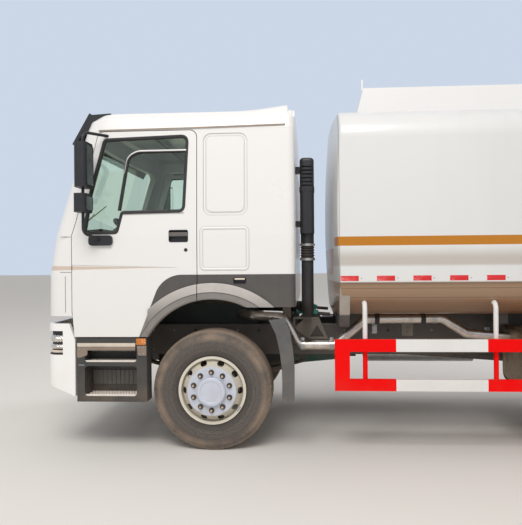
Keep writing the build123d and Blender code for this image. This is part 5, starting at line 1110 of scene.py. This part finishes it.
# Seats and bunk: crowned cushions with sewn channels, in the places of the plain solids
def cushion(name, size, centre, tilt, finish, channels, crown, corner, fill=0.6, replaced=""):
    """A pad of a width, length and depth, with rounded edges and a crown, sewn across at each channel."""
    width, length, depth = size
    columns, rows = 24, 36
    bm = bmesh.new()
    top = {}
    bottom = {}
    for i in range(columns + 1):
        for j in range(rows + 1):
            u, v = i / columns * 2 - 1, j / rows * 2 - 1
            past_width = max(abs(u) * width / 2 - (width / 2 - corner), 0)
            past_length = max(abs(v) * length / 2 - (length / 2 - corner), 0)
            fall = min(hypot(past_width, past_length) / corner, 1)
            drop = corner * (1 - sqrt(max(1 - fall * fall, 0)))
            pull = 1 - 0.035 * (1 - u ** 4) * v ** 6 - 0.03 * (1 - v ** 4) * u ** 6
            sewn = sum(exp(-((v - c) * length / 2 / 0.011) ** 2) for c in channels) * 0.014
            sewn += exp(-((abs(u) - 0.62) * width / 2 / 0.011) ** 2) * 0.012
            swell = crown * (1 - u * u) * (1 - v * v)
            x, y = v * length / 2 * pull, u * width / 2 * pull
            top[i, j] = bm.verts.new((x, y, depth / 2 + swell - sewn - drop))
            bottom[i, j] = bm.verts.new((x, y, -depth / 2 + drop * 0.6))
    for i in range(columns):
        for j in range(rows):
            bm.faces.new((top[i, j], top[i + 1, j], top[i + 1, j + 1], top[i, j + 1]))
            bm.faces.new((bottom[i, j + 1], bottom[i + 1, j + 1], bottom[i + 1, j], bottom[i, j]))
    border = [(i, 0) for i in range(columns)] + [(columns, j) for j in range(rows)]
    border += [(i, rows) for i in range(columns, 0, -1)] + [(0, j) for j in range(rows, 0, -1)]
    for a, b in zip(border, border[1:] + border[:1]):
        bm.faces.new((top[a], bottom[a], bottom[b], top[b]))
    place = Matrix.Translation((behind(centre[0]), centre[1], centre[2]))
    bm.transform(place @ Matrix.Rotation(radians(tilt), 4, "Y"))
    made = add_piece(bm, name, "cab", finish, 180, replaced)
    rounding = made.modifiers.new("rounding", "SUBSURF")
    rounding.levels = rounding.render_levels = 1


# Pads: name, size, distance behind the axle, height, tilt in degrees, channels, crown, corner radius
SEAT_PADS = (
    ("seat_base", (0.47, 0.44, 0.12), -0.435, 1.7, -3, (-0.35, 0.3), 0.035, 0.045),
    ("seat_back", (0.46, 0.64, 0.11), -0.145, 2.08, -79, (-0.45, 0.0, 0.45), 0.03, 0.045),
    ("head_rest", (0.25, 0.2, 0.08), -0.078, 2.52, -84, (), 0.02, 0.035),
)
# Seat frame: front, rear, half width, bottom, top, bevel
SEAT_FRAME = (
    (-0.585, -0.245, 0.175, 1.4202, 1.47, 0.01), (-0.56, -0.27, 0.15, 1.47, 1.6, 0.03),
    (-0.62, -0.215, 0.21, 1.6, 1.645, 0.015), (-0.23, -0.15, 0.2, 1.61, 1.76, 0.015),
)
seat_y = 0.64
for side, sign in SIDES.items():
    for name, size, x, z, tilt, *shape in SEAT_PADS:
        replaced = "seats" if (name, side) == ("seat_base", "left") else ""
        cushion(f"{name}_{side}", size, (x, sign * seat_y, z), tilt, "seat_cloth", *shape, replaced=replaced)
    posts, seat_frame = Build(side), Build(side)
    for y in (seat_y - 0.05, seat_y + 0.05):
        posts.rod((-0.092, y, 2.4), (-0.082, y, 2.47), 0.006)
    posts.make("head_rest_posts_{}", "cab", "steel", "galvanised")
    for x1, x2, half, z1, z2, bevel in SEAT_FRAME:
        seat_frame.box((x1, seat_y - half, z1), (x2, seat_y + half, z2), bevel)
    seat_frame.make("seat_frame_{}", "cab", "dash_plastic")
cushion("bunk_mattress", (2.22, 0.425, 0.11), (0.469, 0, 1.69), 0, "bunk_cloth", (), 0.0, 0.035,
        fill=0.5, replaced="sleeper_bunk")
Build().box((0.254, -1.115, 1.4205), (0.684, 1.115, 1.632), 0.01).make(
    "bunk_base", "cab", "lining", "dash_plastic")

# Headlining bows, pillar covers and curtain rails
bows = Build()
for x in (-0.72, -0.3, 0.12, 0.52):
    bows.box((x, -1.02, 2.944), (x + 0.03, 1.02, 2.956), 0.004)
bows.make("headlining_bows", "cab", "lining", "dash_plastic")
PILLAR_COVER = [(-0.215, 1.44), (-0.125, 1.44), (-0.125, 2.78), (-0.185, 2.78)]
for side in SIDES:
    Build(side).prism(PILLAR_COVER, 1.1, 1.128).make("pillar_cover_{}", "cab", "dash_plastic")
    Build(side).rod((-0.86, 1.05, 2.8), (-0.2, 1.06, 2.81), 0.008).make(
        "curtain_rail_{}", "cab", "lining", "dash_plastic")

# Steering wheel grip and dashboard binnacle
wheel_centre = Vector((-0.85, -0.64, 1.96))
wheel_tilt = Vector((0.78, 0, -0.62)).normalized()
grip_radius = 0.225
wheel_across = Vector((0, 1, 0))
ring = [
    wheel_centre + grip_radius * (cos(turn) * wheel_tilt + sin(turn) * wheel_across)
    for turn in circle(48) + [2 * pi]
]
Build().tube(ring, 0.0172).make("wheel_grip", "cab", "rubber", "dash_plastic")
BINNACLE = rounded_outline([(-1.3, 1.9), (-1.3, 1.985), (-1.09, 2.0), (-1.01, 1.905)], 0.02)
Build().prism(BINNACLE, -0.86, -0.42).box((-1.06, -0.2, 1.7), (-0.96, 0.2, 1.86), 0.02).make(
    "dash_binnacle", "cab", "dash_plastic")


# Wipers on the windscreen
def cab_front(y, z, proud):
    """A place off the cab's bowed front face, between its belt and its roof edge."""
    share = (z - cab_shoulder_z) / (gutter_z - cab_shoulder_z)
    bow = 0.044 + share * 0.016
    return (-1.42 + share * 0.275 - bow * (1 - (y / cab_half_width) ** 2) - proud, y, z)


for number, y in enumerate((-0.62, 0.28)):
    wiper = Build()
    wiper.rod(cab_front(y, 1.96, 0.006), cab_front(y + 0.34, 2.19, 0.012), 0.007, end_radius=0.005)
    wiper.rod(cab_front(y + 0.06, 2.045, 0.002), cab_front(y + 0.6, 2.3, 0.002), 0.006)
    wiper.button(cab_front(y, 1.96, -0.004), 0.022, 0.02, 0.014, 0.018, 20, "X", -1)
    wiper.make(f"wiper_{number}", "cab", "mirror_plastic", "rubber")

# Dampers of the rear cab support: body, caps, rod and feet
damper_y = 0.36
for side in SIDES:
    damper = Build(side)
    damper.rod((0.735, damper_y, 1.185), (0.87, damper_y, 1.185), 0.04, 24)
    damper.rod((0.87, damper_y, 1.185), (0.945, damper_y, 1.15), 0.028, 20)
    for x in (0.735, 0.858):
        damper.button((x, damper_y, 1.185), 0.044, 0.044, 0.014, 0.014, 24, "X")
    damper.make("damper_{}", "chassis", "teal_paint", "engine_paint")
    rod = Build(side).rod((0.945, damper_y, 1.15), (1.075, damper_y, 1.14), 0.017)
    for x, bottom, top in ((0.72, 1.052, 1.18), (0.905, 1.05, 1.15)):
        rod.box((x, damper_y - 0.015, bottom), (x + 0.03, damper_y + 0.015, top), 0.003)
    rod.make("damper_rod_{}", "chassis", "chassis_paint")

# Exhaust: clamps round the pipe, and straps that hang it from the tank's underside
pipe_y = -0.72
CLAMP = [(0.0455, -0.02), (0.0495, -0.019), (0.0495, 0.019), (0.0455, 0.02)]
STRAP = [(0.0455, -0.022), (0.048, -0.022), (0.048, 0.022), (0.0455, 0.022)]
clamps, straps = Build(), Build()
for x, z in ((0.8, 0.88), (1.075, 0.88), (1.46, 1.1255), (2.04, 1.13)):
    clamps.lathe(CLAMP, (x, pipe_y, z), "X", 28)
    clamps.box((x - 0.017, pipe_y - 0.01, z + 0.046), (x + 0.017, pipe_y + 0.01, z + 0.072), 0.003)
clamps.make("exhaust_clamps", "chassis", "steel", "exhaust_steel")
for x in (1.502, 1.932):
    straps.box((x - 0.022, pipe_y - 0.002, 1.17), (x + 0.022, pipe_y + 0.004, 1.3), 0.001)
    straps.lathe(STRAP, (x, pipe_y, 1.127), "X", 28)
straps.make("pipe_straps", "chassis", "rubber")

# Silencer: rolled bands and end seams
silencer_front = 2.716
silencer_length = 0.844
section = rectangle((-1.13, 0.545), (-0.54, 1.056), 0.09, 8)
raised = offset_outline(section, 0.004)
bands = Build()
for share in (0.03, 0.33, 0.66, 0.97):
    x = silencer_front + share * silencer_length
    bands.loop_strip([
        crosswise(outline, x + along)
        for outline, along in ((section, -0.018), (raised, -0.014), (raised, 0.014), (section, 0.018))
    ])
bands.make("silencer_bands", "chassis", "silencer_steel")

# Frame: rows of bolts along the webs with dark discs as painted shade in the holes, plates that tie the
# tank's beams to the rails, and brackets
rail_face = 0.425
bracket_face = 0.442
row_start = -1.15
row_pitch = 0.215
tie_low_z = 0.93
# The holes are dark discs: painted shade in each hole
bolts, plates, holes = Build(), Build(), Build()
for sign in SIDES.values():
    bolts.sign = plates.sign = holes.sign = sign
    for k in range(44):
        x = row_start + row_pitch * k
        for z in (0.8, 0.985):
            if k % 3 != 1:
                bolts.button((x, rail_face, z), 0.013, 0.011, 0.009, 0.01)
            else:
                holes.button((x, rail_face, z), 0.017, 0.017, 0.0012, 0.0012, 16)
    for x in (1.78, 3.1, 4.35, 6.5, 7.6):
        plates.box((x, rail_face + 0.0002, tie_low_z), (x + 0.11, rail_face + 0.01, 1.125))
        for up in (0.03, 0.075, 0.165):
            bolts.button((x + 0.055, rail_face + 0.01, tie_low_z + up), 0.013, 0.011, 0.01, 0.011)
bolts.make("frame_bolts", "chassis", "bracket_grey", "chassis_paint")
plates.make("frame_plates", "chassis", "bracket_grey", "chassis_paint")
holes.make("frame_holes", "chassis", "rubber", "chassis_paint")
brackets = Build("left")
for x, low, high in ((1.485, 0.955, 1.045), (2.585, 0.905, 1.015)):
    brackets.box((x, rail_face + 0.0005, low), (x + 0.05, bracket_face, high), 0.003)
    for z in (low + 0.025, high - 0.025):
        brackets.button((x + 0.025, bracket_face, z), 0.013, 0.012, 0.008, 0.009)
brackets.make("frame_brackets", "chassis", "galvanised", "chassis_paint")

# Manhole: clamp bolts round the lid, a breather cap and a grab handle on it
manhole_x = 4.7
lid_top = 3.1523
bolt_circle = 0.262
BREATHER = [(0, 0), (0.075, 0), (0.075, 0.02), (0.06, 0.045), (0.045, 0.055), (0, 0.058)]
GRAB = [(manhole_x - 0.2, y, lid_top + up) for y, up in ((-0.12, 0), (-0.12, 0.05), (0.12, 0.05), (0.12, 0))]
fittings = Build()
for turn in circle(8, 0.5):
    place = (manhole_x + bolt_circle * cos(turn), bolt_circle * sin(turn), lid_top)
    fittings.nut(place, 0.016, 0.01, 0, 0.016, 0.018, axis="Z")
fittings.lathe(BREATHER, (manhole_x - 0.05, 0.05, lid_top), "Z", 32)
fittings.tube(GRAB, 0.007, bend=0.02)
fittings.make("lid_fittings", "manhole_lid_body", "steel", "lid_alloy")

# Walkway plates beside the manhole, with slanting ribs in both directions
walkway_start = 1.52
walkway_half = 0.3
plate_length = 0.74
plate_pitch = 0.78
rib_z = 3.0388
rib_half = 0.012
walk = Build()
for k in range(9):
    x = walkway_start + plate_pitch * k
    if abs(x + plate_length / 2 - manhole_x) < 0.75:
        continue
    walk.box((x, -walkway_half, 3.0345), (x + plate_length, walkway_half, 3.0385), 0.001)
    for i in range(14):
        for j in range(10):
            rib_x, rib_y = x + 0.05 + i * 0.049, -0.26 + j * 0.058
            turn = 0.8 if (i + j) % 2 else -0.8
            dx, dy = rib_half * cos(turn), rib_half * sin(turn)
            walk.rod((rib_x - dx, rib_y - dy, rib_z), (rib_x + dx, rib_y + dy, rib_z), 0.0022, 6)
walk.make("walkway_plates", "chassis", "walkway_plate", "galvanised")

# Rear: lamp lenses in three fields, and a blank plate
lamp_face_x = 8.79
lamp_low_z = 0.705
lamp_high_z = 0.815
LAMP_FIELDS = (("red_lens", 0.77, 0.895), ("amber_lens", 0.9, 1.02), ("lamp_lens", 1.025, 1.15))
for side in SIDES:
    for finish, y1, y2 in LAMP_FIELDS:
        lens = Build(side)
        lens.box((lamp_face_x - 0.0005, y1, lamp_low_z), (lamp_face_x + 0.006, y2, lamp_high_z), 0.003)
        lens.make(finish + "_{}", "chassis", finish, "tail_lamp")
Build().box((8.7602, -0.26, 0.7), (8.7645, 0.26, 0.82), 0.001).make(
    "blank_plate", "chassis", "coaming_paint", "tank_paint")

# Clamps round the intake stack and its bellows
stack_x, stack_y = 0.853, -0.95
stack = rectangle((-0.0655, 0.0965), (0.0655, -0.0965), 0.03)
Build().loop_strip([
    [(stack_x + x, stack_y + y, z) for x, y in offset_outline(stack, out)]
    for z, out in ((2.308, -0.004), (2.308, 0.002), (2.344, 0.002), (2.344, -0.004))
]).make("stack_band", "cab", "mirror_plastic", "dark_plastic")
BELLOWS_CLAMP = [(0.055, -0.01), (0.0685, -0.01), (0.07, 0.0), (0.0685, 0.01), (0.055, 0.01)]
for number, z in enumerate((1.694, 1.826)):
    Build().lathe(BELLOWS_CLAMP, (stack_x, stack_y, z), "Z", 32).make(
        f"bellows_clamp_{number}", "chassis", "steel", "galvanised")


# Stage and light
def make_stage():
    finish = Finish("floor", (0.78, 0.76, 0.73), 0.9, specular=0.1)
    finish.mottle(0.8, 0.15, dark=0.95).done()
    bpy.ops.mesh.primitive_plane_add(size=160)
    floor = bpy.context.active_object
    floor.name = "floor"
    floor.data.materials.append(finish.material)
    floor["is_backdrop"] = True


def make_world():
    """Even light from all round, and a blue backdrop for the camera, reflections and glass."""
    world = bpy.data.worlds.new("studio")
    bpy.context.scene.world = world
    world.use_nodes = True
    tree = world.node_tree
    tree.nodes.clear()
    rays = add_node(tree, "ShaderNodeLightPath", {}).outputs
    kinds = {0: rays["Is Glossy Ray"], 1: rays["Is Transmission Ray"]}
    mirrored = add_node(tree, "ShaderNodeMath", kinds, operation="MAXIMUM")
    kinds = {0: rays["Is Camera Ray"], 1: mirrored.outputs[0]}
    seen = add_node(tree, "ShaderNodeMath", kinds, operation="MAXIMUM")
    light = add_node(tree, "ShaderNodeBackground", {"Color": (1.0, 0.99, 0.98), "Strength": 0.58})
    backdrop = add_node(tree, "ShaderNodeBackground", {"Color": (0.6, 0.68, 0.8)})
    shaders = {0: seen.outputs[0], 1: light.outputs[0], 2: backdrop.outputs[0]}
    choose = add_node(tree, "ShaderNodeMixShader", shaders)
    add_node(tree, "ShaderNodeOutputWorld", {"Surface": choose.outputs[0]})


def area_light(name, place, aim, size, power, colour):
    data = bpy.data.lights.new(name, "AREA")
    data.shape = "RECTANGLE"
    data.size, data.size_y = size
    data.energy = power
    data.color = colour
    lamp = add_object(name, data)
    lamp.location = place
    lamp.rotation_euler = (Vector(aim) - Vector(place)).to_track_quat("-Z", "Y").to_euler()


make_stage()
make_world()
area_light("key", (behind(-0.5), -9.0, 10.5), (behind(1.0), 0, 1.5), (7, 5), 900, (1.0, 0.97, 0.93))
area_light("fill", (behind(9.0), 8.0, 8.0), (behind(3.0), 0, 1.5), (6, 6), 450, (0.95, 0.97, 1.0))

bpy.context.scene.view_settings.view_transform = "Standard"

low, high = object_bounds()
